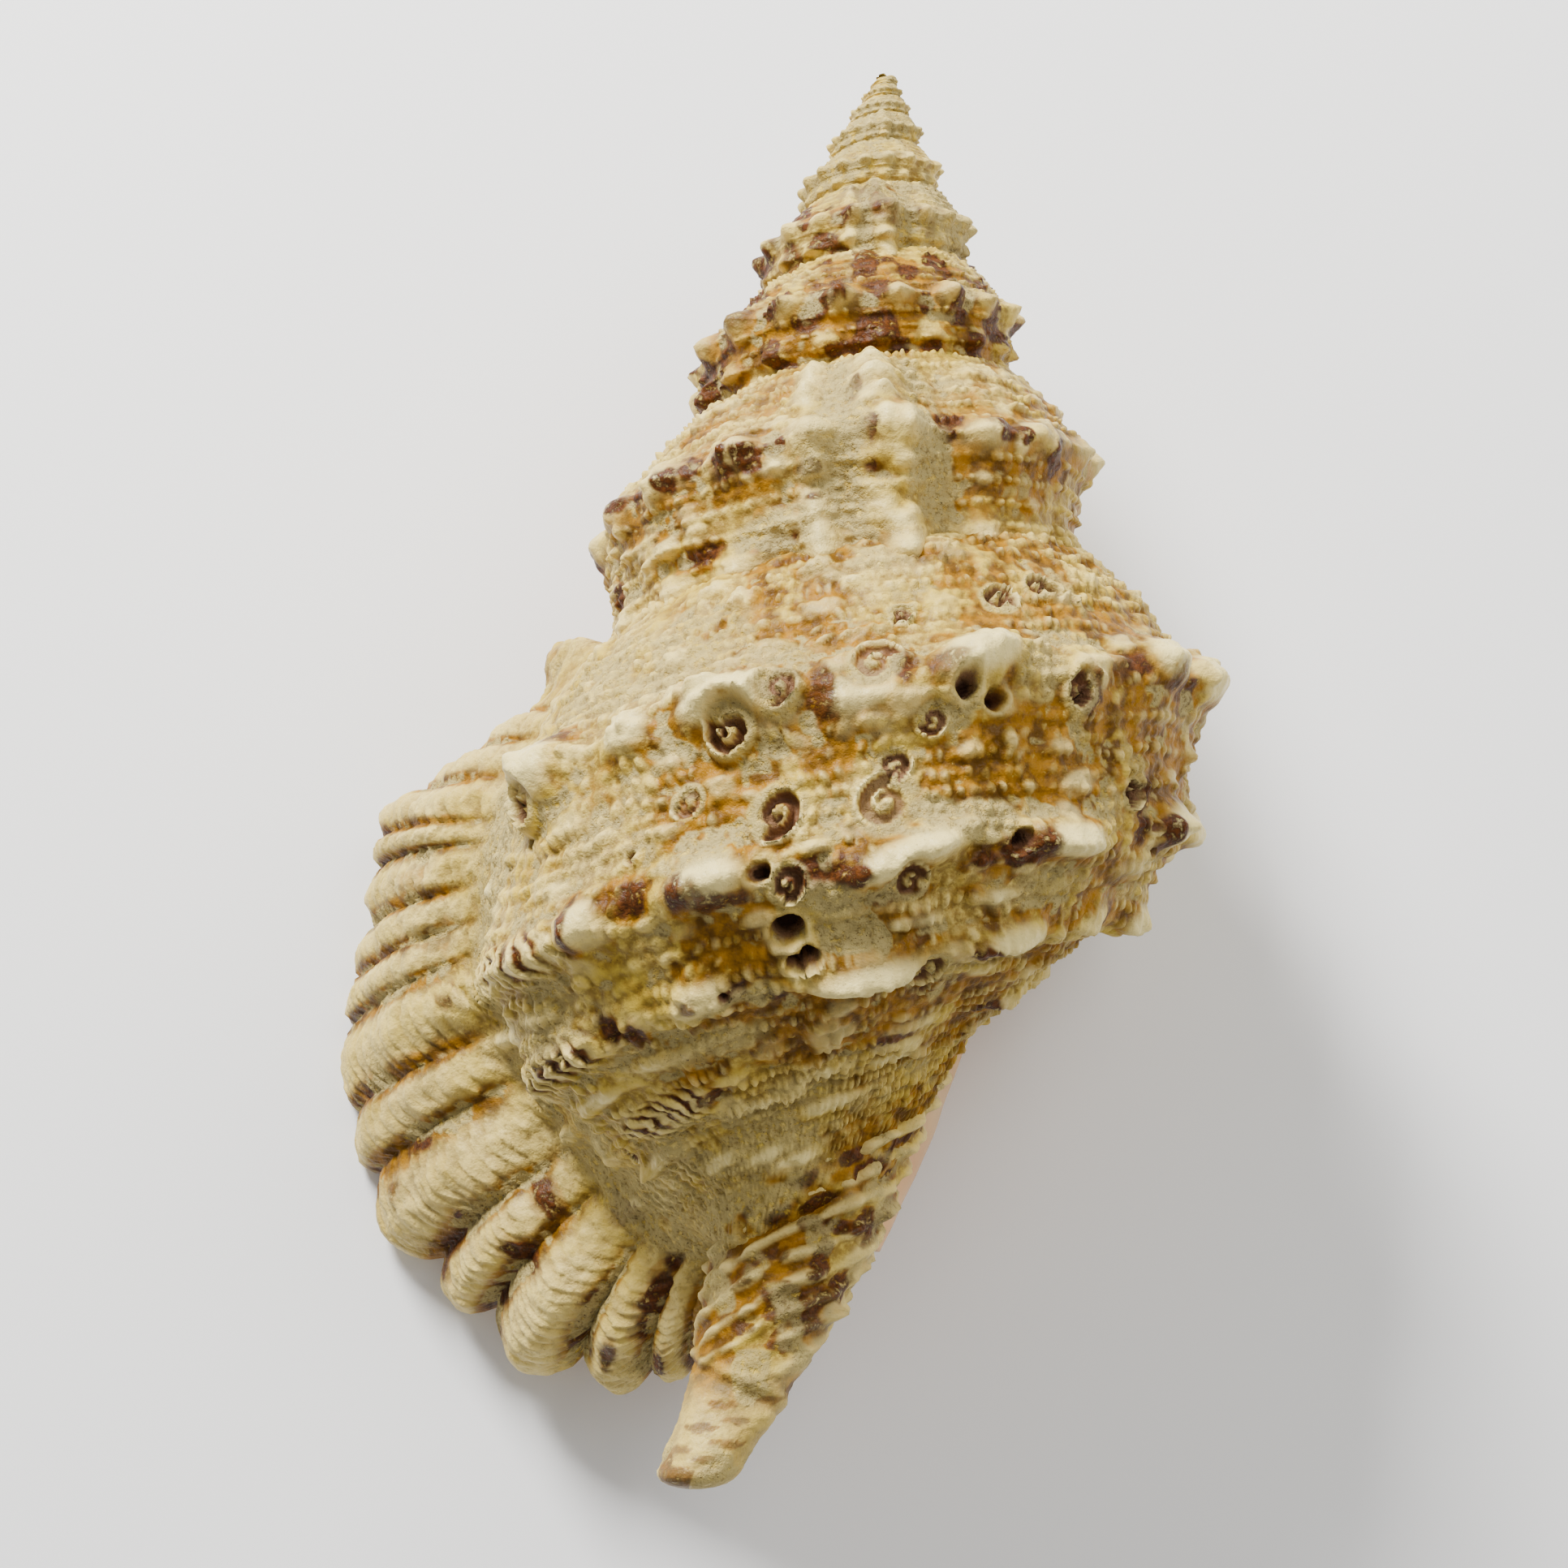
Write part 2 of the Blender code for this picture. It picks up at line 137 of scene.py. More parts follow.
def spiralLines(angle):
    size = growth["perTurn"] ** ((angle + 90.0) / 360.0)
    late = np.clip(size - 1.0, 0.0, None)
    early = np.minimum(size, 1.0)
    radius = early[:, None] * spiralTable[:, 0] * (1.0 + late[:, None] * spiralTable[:, 2])
    down = early[:, None] * spiralTable[:, 1] * (1.0 + late[:, None] * spiralTable[:, 3])
    drop = growth["drop"] * np.clip((angle + 300.0) / 360.0, 0.0, 1.0)[:, None] ** 2
    down += drop * (spiralTable[:, 3] > 0.9)
    tip = 1.0 - smooth(angle, growth["apex"] + 240.0, growth["apex"] + 430.0)[:, None]
    radius = radius * (1.0 - tip * np.clip(1.0 - 0.5 * np.arange(len(spiralTable)), 0.0, 1.0))
    points = turned(angle[:, None] + 0 * radius, radius, down)
    points[..., [0, 2]] += middleShift(down)
    return points


def lipStations():
    # control points of every line from the back of the whorl to the lip's edge
    valley = np.array(lip["valleyLine"], float) * (1, -1, 1)
    edge = np.array(lip["edgeLine"], float) * (1, -1, 1)
    along = edge - valley
    length = np.linalg.norm(along, axis=1, keepdims=True)
    up = np.array([-0.35, 0.0, 1.0])
    outward = up - (along / length) @ up[:, None] * (along / length)
    outward /= np.linalg.norm(outward, axis=1, keepdims=True)
    reach = np.minimum(length / 30.0, 1.0)
    roll = valley + 0.42 * along + lip["roll"] * reach * outward
    late = valley + 0.8 * along + 0.75 * lip["roll"] * reach * outward
    angles = [-2.0, 30.0, 62.0, lip["valley"], 113.0, 122.0, lip["edge"]]
    first = spiralLines(np.array(angles[:3]))
    return angles, np.concatenate([first, [valley, roll, late, edge]])


lipAngles, lipPoints = lipStations()


def surface(angle, along):
    # grid of points on the bare surface: angles x along x 3
    spiral = spiralLines(np.minimum(angle, 62.0))
    bend = np.einsum("ak,kln->aln", weights(lipAngles, angle), lipPoints)
    share = smooth(angle, 30.0, 62.0)[:, None, None]
    return np.einsum("tl,aln->atn", weights(profileMarks, along), spiral * (1.0 - share) + bend * share)


def unit(v):
    return v / np.maximum(np.linalg.norm(v, axis=-1, keepdims=True), 1e-9)


def gridNormals(points):
    return unit(np.cross(np.gradient(points, axis=0), np.gradient(points, axis=1)))


def noise(points, grain, seed):
    # smooth random field from 0 to 1 with blobs about one grain across, in millimetres
    table = np.random.default_rng(seed).random((32, 32, 32)).astype(np.float32)
    place = points / grain + 900.0
    cell = np.floor(place).astype(np.int32)
    share = place - cell
    share = share * share * (3.0 - 2.0 * share)
    cell &= 31
    total = 0.0
    for dx in (0, 1):
        wx = share[..., 0] if dx else 1.0 - share[..., 0]
        for dy in (0, 1):
            wy = share[..., 1] if dy else 1.0 - share[..., 1]
            for dz in (0, 1):
                wz = share[..., 2] if dz else 1.0 - share[..., 2]
                spot = (cell[..., 0] + dx) & 31, (cell[..., 1] + dy) & 31, (cell[..., 2] + dz) & 31
                total = total + wx * wy * wz * table[spot]
    return total


def sheet(first, second):
    # places for the noise from two values over a grid
    first, second = np.broadcast_arrays(first, second)
    return np.stack([first, second, 0 * first], axis=-1)


def fromNearest(angle, first, step):
    # how far the angle is from the nearest one of an even row
    at = (angle - first) / step
    return (at - np.round(at)) * step


def blurred(values, reach):
    # running mean over a square of the grid
    for axis in (0, 1):
        pad = [(0, 0), (0, 0)]
        pad[axis] = (reach + 1, reach)
        sums = np.cumsum(np.pad(values, pad, mode="edge"), axis=axis)
        size = values.shape[axis]
        high = np.take(sums, np.arange(2 * reach + 1, 2 * reach + 1 + size), axis=axis)
        low = np.take(sums, np.arange(size), axis=axis)
        values = (high - low) / (2 * reach + 1)
    return values


# The outer wall: one grid over all whorls, from which the pieces are cut
outer = {
    "edge": 0.42, "profileStep": 0.42, "split": 54.0, "shoulder": 31.0, "shoulderRadius": 45.5,
    "whorlRows": 500, "lipRows": 112,
}


def growthAngles():
    # angles with about equal steps along the shoulder, finer where the lip spreads out
    spots = [growth["apex"]]
    while spots[-1] < growth["join"] - 0.01:
        size = growth["perTurn"] ** ((spots[-1] + 90.0) / 360.0)
        step = 1.15 * outer["edge"] / (outer["shoulderRadius"] * size)
        spots.append(spots[-1] + math.degrees(step) + 0.02)
    spots[-1] = growth["join"]
    middle = np.linspace(growth["join"], growth["mouth"], outer["whorlRows"])[1:]
    last = np.linspace(growth["mouth"], lip["valley"], outer["whorlRows"])[1:]
    flare = np.linspace(lip["valley"], lip["edge"], outer["lipRows"])[1:]
    return np.concatenate([spots, middle, last, flare])


gAll = growthAngles()
tAll = np.linspace(0.0, profileMarks[-1], int(profileMarks[-1] / outer["profileStep"]) + 1)
bare = surface(gAll, tAll)
bareNormals = gridNormals(bare)
ahead = unit(np.gradient(bare, axis=0))
mmPerDegree = np.linalg.norm(np.gradient(bare, axis=0), axis=-1) / np.gradient(gAll)[:, None]
mmPerMark = np.linalg.norm(np.gradient(bare, axis=1), axis=-1) / np.gradient(tAll)[None, :]
G, T = gAll[:, None], tAll[None, :]
sizeAt = np.minimum(growth["perTurn"] ** ((G + 90.0) / 360.0), 1.1)
shoulderLine = bare[:, int(np.searchsorted(tAll, outer["shoulder"]))]
shoulderSteps = np.linalg.norm(np.diff(shoulderLine, axis=0), axis=-1)
arcLength = np.concatenate([[0.0], np.cumsum(shoulderSteps)])
print("outer grid", bare.shape[:2])

# relief in mm, and masks from 0 to 1 for the shell's material
field = {name: np.zeros(bare.shape[:2]) for name in ("height", "ochre", "brown", "crust", "white", "pit")}
everywhere = (slice(None), slice(None))


def lay(name, share, where=everywhere):
    # the mask takes the share wherever that is more than it has
    field[name][where] = np.maximum(field[name][where], share)


def patch(g, t, reach):
    # the part of the grid within reach of a spot, with offsets in mm along the growth and down the profile
    middle = int(np.searchsorted(gAll, g)), int(np.searchsorted(tAll, t))
    middle = min(middle[0], len(gAll) - 1), min(middle[1], len(tAll) - 1)
    perDegree, perMark = mmPerDegree[middle], mmPerMark[middle]
    rows = slice(*np.searchsorted(gAll, [g - reach / perDegree, g + reach / perDegree]))
    columns = slice(*np.searchsorted(tAll, [t - reach / perMark, t + reach / perMark]))
    u = (gAll[rows, None] - g) * mmPerDegree[rows, columns]
    v = (tAll[None, columns] - t) * mmPerMark[rows, columns]
    return (rows, columns), u, v


# Nodules: growth angle, place on the profile, half length, half width, height in mm, tilt in degrees
nodules = {
    "last whorl": [
        (-94, 30.5, 4.6, 3.4, 3.6, 0), (-70, 30.5, 4.6, 3.4, 4.6, 0), (-54, 29.0, 4.2, 3.2, 4.0, 0),
        (-35, 31.0, 3.6, 3.0, 2.0, 0), (-15.5, 29.3, 6.2, 3.4, 5.4, 16), (2.5, 32.3, 5.0, 3.0, 2.4, 10),
        (22, 31.0, 7.0, 3.4, 5.0, 0), (39, 31.5, 3.6, 3.2, 2.8, 0), (58, 32.4, 5.6, 4.6, 5.6, 0),
        (-88, 49.0, 4.4, 3.0, 3.8, 0), (-61.5, 48.8, 4.0, 2.8, 4.4, 10), (-32, 50.6, 5.6, 2.3, 4.8, -4),
        (-5.5, 50.8, 8.0, 2.3, 4.9, 17), (24, 50.5, 5.6, 3.0, 3.9, 8), (44.5, 51.0, 3.6, 2.8, 2.6, 0),
        (-98, 63.0, 4.0, 2.8, 3.2, 0), (-71.5, 62.4, 4.2, 2.6, 3.8, 0), (-50, 62.5, 3.0, 2.2, 1.8, 0),
        (-27.5, 62.6, 5.6, 2.2, 3.2, 6), (0, 63.7, 8.4, 2.1, 4.4, 4), (28, 63.2, 5.0, 2.6, 2.4, 10),
        (-51, 77.9, 4.0, 2.2, 1.8, 0), (-75, 76.5, 4.4, 2.2, 2.0, 0), (-15, 77.0, 4.5, 1.8, 1.2, 0),
    ],
    "first": -7.0, "step": 20.0, "rise": 4.2, "halfLength": 5.4,  # rows on the older whorls
    "rows": [(30.8, 3.6), (50.7, 3.0), (63.2, 2.8)], "rowKeel": 0.8,  # profile and width
    "lowerFirst": -2.0, "lowerRow": (42.5, 2.7), "lowerRise": 3.2, "lowerHalfLength": 5.2,
    "lowerKeel": (42.0, 4.0, 1.2),  # profile, width, rise
    "worn": 3.2,  # nodules this high are worn quite white
}


def growNodules():
    body = smooth(G, -108.0, -98.0)
    lipward = smooth(G, 74.0, 96.0)
    away = fromNearest(G, nodules["first"], nodules["step"])
    spireRise = nodules["rise"] * (0.8 + 0.4 * smooth(-G, 440.0, 700.0))
    uneven = 0.6 + 0.8 * noise(bare, 7.0, 16)
    for row, width in nodules["rows"]:
        across = lump((T - row) / width)
        older = lump(away / nodules["halfLength"]) * (1.0 - body) * uneven
        keel = nodules["rowKeel"] * (0.5 + 0.5 * body)
        field["height"] += sizeAt * across * (1.0 - lipward) * (spireRise * older + keel)
        lay("white", 0.75 * across**2 * older)
    # the spire's lower row of knobs, which the last two whorls don't show
    spireOnly = smooth(-G, 420.0, 560.0) * sizeAt
    away = fromNearest(G, nodules["lowerFirst"], nodules["step"])
    lower = lump(away / nodules["lowerHalfLength"]) * (0.7 + 0.7 * noise(bare, 5.0, 27))
    row, width = nodules["lowerRow"]
    keelRow, keelWidth, keelRise = nodules["lowerKeel"]
    lowerKnobs = nodules["lowerRise"] * lower * lump((T - row) / width)
    field["height"] += spireOnly * (lowerKnobs + keelRise * lump((T - keelRow) / keelWidth))
    for g, t, long, wide, rise, tilt in nodules["last whorl"]:
        where, u, v = patch(g, t, 2.6 * long)
        c, s = math.cos(math.radians(tilt)), math.sin(math.radians(tilt))
        along, over = u * c + v * s, v * c - u * s
        over = np.where(over > 0, over / 0.8, over / 1.25)
        shape = np.exp(-np.abs(along / long) ** 2.6 - np.abs(over / wide) ** 2.1)
        field["height"][where] += rise * shape * (1.0 - lipward[where[0]])
        lay("white", smooth(shape, 0.35, 0.8) * min(1, rise / nodules["worn"]), where)


# Varices: thick former lips, every two thirds of a turn
varix = {
    "first": -120.0, "step": 240.0, "rise": 4.0, "width": 7.5, "lean": 0.16, "fluteStep": 5.6, "flute": 1.1,
    "hollow": 1.4, "hollowAt": -19.0, "hollowWidth": 8.0,
    "second": 1.7, "secondAt": 17.0, "secondWidth": 3.6, "knobbly": 4.2,
}


def growVarices():
    fade = 1.0 - smooth(G, 20.0, 60.0)
    reach = smooth(T, 3.0, 12.0) * (1.0 - smooth(T, profileMarks[9], profileMarks[11]))
    away = fromNearest(G, varix["first"], varix["step"])
    leaning = away + varix["lean"] * (T - 26.0)
    ridge = lump(leaning / varix["width"])
    hollow = lump((away - varix["hollowAt"]) / varix["hollowWidth"])
    second = lump((leaning - varix["secondAt"]) / varix["secondWidth"])
    flutes = 0.5 + 0.5 * np.cos(2 * np.pi * (T - 2.0) / varix["fluteStep"])
    rise = varix["rise"] * ridge - varix["hollow"] * hollow + varix["second"] * second
    rise = rise + varix["flute"] * (ridge + 0.5 * second) * flutes
    field["height"] += sizeAt * fade * reach * rise
    knobbly = 0.6 * noise(bare, 3.4, 17) + 0.4 * noise(bare, 1.7, 18) - 0.45
    bars = np.clip(ridge + second, 0, 1) * fade * reach
    field["height"] += varix["knobbly"] * sizeAt * bars * knobbly
    worn = fade * reach * smooth(knobbly, -0.12, 0.1)
    lay("white", 0.9 * lump(leaning / 5.0) * worn * flutes)
    lay("white", 0.8 * second * worn)
    valley = lump((leaning - 8.5) / 3.4) + lump((leaning + 12.0) / 4.5)
    lay("crust", 0.85 * valley * fade * reach)
    return 1.0 - 0.75 * bars  # share of the beads that stays


# Ribs that fan out over the lip, and the thin layers that its growth left on them
layers = {"stepDegrees": 1.3, "rise": 0.42, "arch": 1.0}


def lipRibs(along):
    # 0 in the notches and 1 on the crests, and each rib's width
    notches = np.array(lip["notches"])
    count = np.interp(along, notches, np.arange(len(notches)))
    widths = np.diff(notches)
    width = np.interp(count, np.arange(len(widths)) + 0.5, widths)
    inside = (along > notches[0]) & (along < notches[-1])
    return np.abs(np.sin(np.pi * count)) ** 0.7 * inside + 0.55 * ~inside, width


ribShape, ribWidth = lipRibs(tAll)


def growLip():
    onLip = smooth(G, 99.0, 114.0)
    edgeward = smooth(G, 108.0, 126.0)
    field["height"] += lip["ribRise"] * ribWidth * onLip * (ribShape - 0.55) * (1.0 + 0.35 * edgeward)
    wobble = noise(bare, 6.0, 11) - 0.5
    phase = (lip["edge"] - G) / layers["stepDegrees"] + layers["arch"] * ribShape + 1.6 * wobble
    saw = phase - np.floor(phase)
    strength = onLip * (0.35 + 0.65 * smooth(noise(bare, 4.0, 12), 0.3, 0.6)) * smooth(T, 8.0, 14.0)
    field["height"] += layers["rise"] * strength * (1.0 - saw) ** 1.5
    lay("crust", 0.9 * lump((G - 97.0) / 9.0) * smooth(T, 20.0, 30.0))
    lay("white", 0.5 * onLip * smooth(ribShape, 0.4, 0.9) * (1 - 0.5 * saw))
    lay("ochre", 0.3 * onLip * smooth(saw, 0.6, 0.95) * (0.3 + 0.7 * edgeward))
    flank = smooth(noise(bare, 3.0, 19), 0.4, 0.6) * (1.0 - smooth(ribShape, 0.55, 0.95))
    lay("ochre", 0.75 * onLip * flank * smooth(T, 14.0, 24.0))
    furrow = lump(ribShape / 0.6) * smooth(G, 104.0, 112.0) * smooth(T, 12.0, 16.0)
    patchy = smooth(0.6 * noise(bare, 6.0, 13) + 0.4 * noise(bare, 2.0, 14), 0.33, 0.5)
    lay("brown", 0.95 * furrow * patchy * (0.35 + 0.65 * edgeward))
    lay("ochre", 0.9 * smooth(furrow, 0.05, 0.6) * (0.4 + 0.6 * patchy))
    bands = smooth(noise(sheet(G / 3.2, T / 16.0), 1.0, 15), 0.55, 0.68)
    lay("ochre", 0.7 * bands * onLip * (1.0 - 0.6 * ribShape))
    return onLip


# Rows of nested scales on the left of the back: first and last growth angle, profile there, height
scaleRows = {
    "rows": [
        (47, 51.6, 111, 55.0, 1.9), (50, 64.6, 107, 66.4, 2.0), (36, 77.0, 64, 78.6, 1.1),
        (62, 89.0, 94, 90.5, 0.8),
    ],
    "pitch": 3.0, "wide": 3.3, "bow": 0.27,
}


def growScales():
    for first, tFirst, last, tLast, rise in scaleRows["rows"]:
        line = tFirst + (tLast - tFirst) * (G - first) / (last - first)
        v = (T - line) * mmPerMark
        u = np.interp(G, gAll, arcLength)
        on = smooth(G, first - 5.0, first + 3.0) * (1.0 - smooth(G, last - 6.0, last + 2.0))
        shape = lump(v / scaleRows["wide"]) * on
        phase = (u + scaleRows["bow"] * v * v * np.sign(v + 0.8)) / scaleRows["pitch"]
        phase = phase + 1.1 * noise(bare, 5.0, 22) + 0.35 * noise(bare, 1.6, 23)
        saw = phase - np.floor(phase)
        field["height"] += rise * shape * (0.5 + (0.25 + 0.6 * noise(bare, 3.0, 24)) * (1.0 - saw) ** 0.7)
        band = smooth(saw, 0.45, 0.7) * (1.0 - smooth(saw, 0.94, 1.0))
        dark = smooth(noise(bare, 9.0, 21), 0.34, 0.5) * lump((v + 0.6) / 3.0) * on
        lay("brown", band * dark)
        lay("ochre", 0.8 * dark * smooth(saw, 0.3, 0.6))
        lay("white", 0.6 * shape * (1.0 - band) * smooth(shape, 0.4, 0.8))


# White elongated ridges in the valley behind the lip: growth angle, profile, half length, half width, rise
valleyRidges = [
    (103, 59.5, 4.5, 1.5, 1.8), (98, 72.0, 4.6, 1.6, 2.0), (70, 84.5, 5.5, 1.5, 1.9),
    (86, 79.0, 3.0, 1.4, 1.2), (60, 58.5, 4.0, 1.4, 1.0), (78, 60.0, 4.4, 1.3, 1.2),
    (40, 70.0, 5.0, 1.4, 1.1), (58, 71.0, 5.0, 1.4, 1.3), (26, 83.5, 5.0, 1.3, 1.2),
    (8, 82.0, 6.0, 1.3, 1.1), (46, 92.0, 5.0, 1.5, 1.2), (90, 44.0, 3.6, 1.5, 1.2),
    (-18, 84.0, 5.0, 1.3, 1.0), (-8, 58.5, 4.0, 1.2, 1.0), (-22, 57.0, 3.6, 1.2, 0.9),
    (4, 90.0, 5.0, 1.4, 1.2), (97, 88.0, 4.0, 1.6, 1.2), (30, 95.0, 4.0, 1.6, 1.4),
    (16, 99.0, 4.0, 1.8, 1.5),
]


def growRidges():
    for g, t, long, wide, rise in valleyRidges:
        where, u, v = patch(g, t, 2.6 * long)
        shape = np.exp(-np.abs(u / long) ** 2.6 - np.abs(v / wide) ** 2.0)
        field["height"][where] += rise * shape * (0.6 + 0.8 * noise(bare[where], 2.0, 26))
        worn = 0.35 + 0.6 * smooth(noise(bare[where], 2.4, 25), 0.35, 0.6)
        lay("white", smooth(shape, 0.3, 0.8) * worn, where)


# Spiral cords and their beads
beads = {"cordStep": 2.15, "first": 5.2, "spacing": 1.95, "rise": 0.85, "cordRise": 0.18}


def chance(table, i, j):
    # a fixed random number from 0 to 1 for each pair of whole numbers
    return table[i & 63, j & 63]


def growBeads(keep, onLip):
    bend = noise(bare, 9.0, 31) - 0.5
    row = (T - beads["first"]) / beads["cordStep"] + 0.9 * bend
    index = np.round(row).astype(int)
    present = np.where(index % 2 == 0, 1.0, 0.75 * smooth(sizeAt, 0.6, 0.95))
    spacing = beads["spacing"] * np.clip(sizeAt, 0.3, 1.0) ** 0.35
    phase = np.cumsum(np.gradient(arcLength)[:, None] / spacing, axis=0)
    phase = phase + 0.37 * index + 2.2 * (noise(bare, 6.0, 33) - 0.5)
    cell = np.floor(phase).astype(int)
    table = np.random.default_rng(34).random((4, 64, 64))
    size, off, over, tall = (chance(table[k], index, cell) for k in range(4))
    du = (phase - cell - 0.5) - 0.3 * (off - 0.5)
    dv = (row - index) - 0.26 * (over - 0.5)
    reach = 0.27 + 0.2 * size
    dome = np.exp(-((du / reach) ** 2 + (dv / (reach + 0.03)) ** 2) ** 1.35)
    cord = np.cos(np.pi * np.clip(row - index, -0.5, 0.5)) ** 1.6
    area = (1.0 - smooth(G, 70.0, 94.0)) * smooth(T, 1.0, 5.0) * (1.0 - smooth(T, 92.0, 106.0))
    area = area * keep * (1.0 - onLip) * smooth(G, -2300.0, -1300.0)
    area = area * (0.4 + 0.6 * smooth(G, -1400.0, -700.0))
    calm = 0.35 + 0.65 * smooth(noise(bare, 7.0, 32), 0.3, 0.55)
    scale = np.clip(sizeAt, 0.25, 1.0) ** 0.45
    bead = dome * present * (0.3 + 0.9 * tall)
    field["height"] += scale * area * (beads["rise"] * calm * bead + beads["cordRise"] * cord * present)
    lay("white", 0.32 * area * smooth(bead, 0.6, 1.0))


# Small smooth knobs scattered over the last two whorls
warts = {"count": 460, "seed": 35, "radius": (0.8, 2.3), "rise": (0.35, 1.15)}


def growWarts():
    pick = np.random.default_rng(warts["seed"])
    for _ in range(warts["count"]):
        g, t = pick.uniform(-500.0, 92.0), pick.uniform(7.0, 88.0)
        radius, rise = pick.uniform(*warts["radius"]), pick.uniform(*warts["rise"])
        long, tilt = pick.uniform(1.0, 2.0), pick.uniform(-0.4, 0.5)
        if g < growth["mouth"] and t > 46.0:
            continue
        scale = float(min(1.0, growth["perTurn"] ** ((g + 90.0) / 360.0)))
        where, u, v = patch(g, t, 3.0 * radius * long)
        shape = np.exp(-(((u + tilt * v) / (radius * long)) ** 2 + (v / radius) ** 2) ** 1.3 / scale**2)
        field["height"][where] += scale * rise * shape
        lay("white", 0.5 * smooth(shape, 0.4, 0.9) * min(1, rise), where)


# Coils and holes left by worm tubes: growth angle, profile, radius, start of the coil in degrees, depth,
# and how dark the inside is
wormCoils = [
    (0.5, 28.1, 3.7, 200, 0.7, 0.15), (-8.5, 35.5, 2.3, 20, 1.0, 0.35), (-3, 40.2, 2.4, 110, 1.0, 0.45),
    (-2, 44.4, 4.3, 260, 0.7, 0.15), (14, 43.7, 3.9, 60, 1.5, 0.4), (21.5, 33.8, 3.3, 330, 1.8, 0.4),
    (12.5, 52.1, 2.8, 90, 1.3, 0.5), (-12, 65.3, 3.2, 30, 1.1, 0.3), (75, 80, 2.2, 0, 0.5, 0.3),
    (60, 35.2, 2.9, 300, 2.0, 0.55), (-33, 32.9, 2.7, 250, 1.6, 0.55), (-4, 19.7, 2.0, 40, 1.0, 0.4),
    (-32, 16, 2.2, 180, 1.2, 0.45), (-22.5, 18.1, 2.9, 150, 1.4, 0.5), (28, 40.5, 2.4, 10, 0.6, 0.1),
    (14, 30.5, 2.4, 70, 0.9, 0.3), (-6, 53.8, 2.6, 190, 0.8, 0.3), (-48, 45.2, 2.2, 90, 1.6, 0.6),
]
wormHoles = [
    (-12.8, 32.3, 2.0, 2.8), (-18.2, 33.6, 1.7, 3.0), (12.5, 57.3, 2.6, 3.0), (11.5, 61.2, 1.6, 2.6),
    (9.3, 60.4, 1.5, 2.4), (-23.2, 50.2, 1.8, 2.8), (16.3, 50.4, 1.6, 2.2), (-36, 16.8, 1.9, 2.4),
    (-40, 17.6, 1.3, 2.0), (60.5, 35.6, 1.3, 2.0), (60.5, 38.5, 1.1, 1.6), (37, 45.2, 0.9, 1.4),
    (-48.5, 45.6, 1.4, 2.2), (-55, 49.2, 1.0, 1.4), (-33.2, 33.4, 1.1, 1.6), (-4.2, 20.3, 1.0, 1.2),
    (-57, 52.5, 0.8, 1.2), (-70, 40.0, 1.0, 1.4), (-14, 70.0, 0.8, 0.8), (24, 62.8, 1.0, 1.2),
    (-150, 34.0, 1.6, 1.8), (-196, 28.0, 1.4, 1.6),
]


def growWormTubes():
    for g, t, radius, start, deep, dark in wormCoils:
        where, u, v = patch(g, t, 2.0 * radius)
        wobble = noise(bare[where], 0.9 * radius, 36) - 0.5
        far = np.hypot(u, v) / radius + 0.22 * wobble
        turn = (np.arctan2(v, u) / (2 * np.pi) - start / 360.0) % 1.0
        tube, nearest = np.zeros(far.shape), np.full(far.shape, 9.0)
        for lap in (0, 1):
            along = turn + lap
            width = 0.25 - 0.085 * along
            off = np.abs(far - (0.7 - 0.42 * along)) / np.maximum(width, 0.05)
            fade = 1.0 - smooth(along, 1.1, 1.4)
            tube = np.maximum(tube, fade * (1.0 - 0.3 * along) * np.sqrt(np.clip(1.0 - off**2, 0.0, 1.0)))
            nearest = np.where(fade > 0.3, np.minimum(nearest, off), nearest)
        oneSided = 0.5 + 0.5 * np.cos(2 * np.pi * (turn - 0.15))
        rim = lump((nearest - 1.22) / 0.3) * oneSided * (far < 1.45)
        calm = 0.8 * (1.0 - smooth(far, 0.9, 1.25))
        flat = field["height"][where]
        base = np.median(flat[far < 1.2])
        level = flat * (1 - calm) + base * calm
        field["height"][where] = level - 1.25 * deep * tube + (0.35 + 0.4 * deep) * rim
        field["white"][where] *= 1 - calm
        lay("white", 0.95 * smooth(rim, 0.2, 0.7), where)
        # the pit mask colours the tube, darkest in its deepest part, partly stain and partly painted shade
        inside = smooth(tube, 0.15, 0.6)
        lay("pit", (0.25 + 0.75 * dark) * inside, where)
        field["crust"][where] *= 1 - inside
        lay("crust", 0.8 * calm * (1 - inside) * (rim < 0.3), where)
    for g, t, radius, deep in wormHoles:
        where, u, v = patch(g, t, 2.2 * radius)
        wobble = noise(bare[where], 0.8 * radius, 37) - 0.5
        far = np.hypot(u, v * 1.1) / (0.86 * radius) + 0.55 * wobble
        side = 0.6 + 0.4 * np.cos(np.arctan2(v, u) - 2.0)
        rim = 0.75 * side * lump((far - 1.25) / 0.22)
        field["height"][where] += rim - deep * (1.0 - smooth(far, 0.6, 1.0))
        # the pit mask darkens the hole's floor most, partly stain and partly painted shade
        lay("pit", 1.0 - smooth(far, 0.3, 1.12), where)
        field["white"][where] *= smooth(far, 0.7, 1.0)
        lay("white", 0.7 * side * lump((far - 1.25) / 0.25), where)


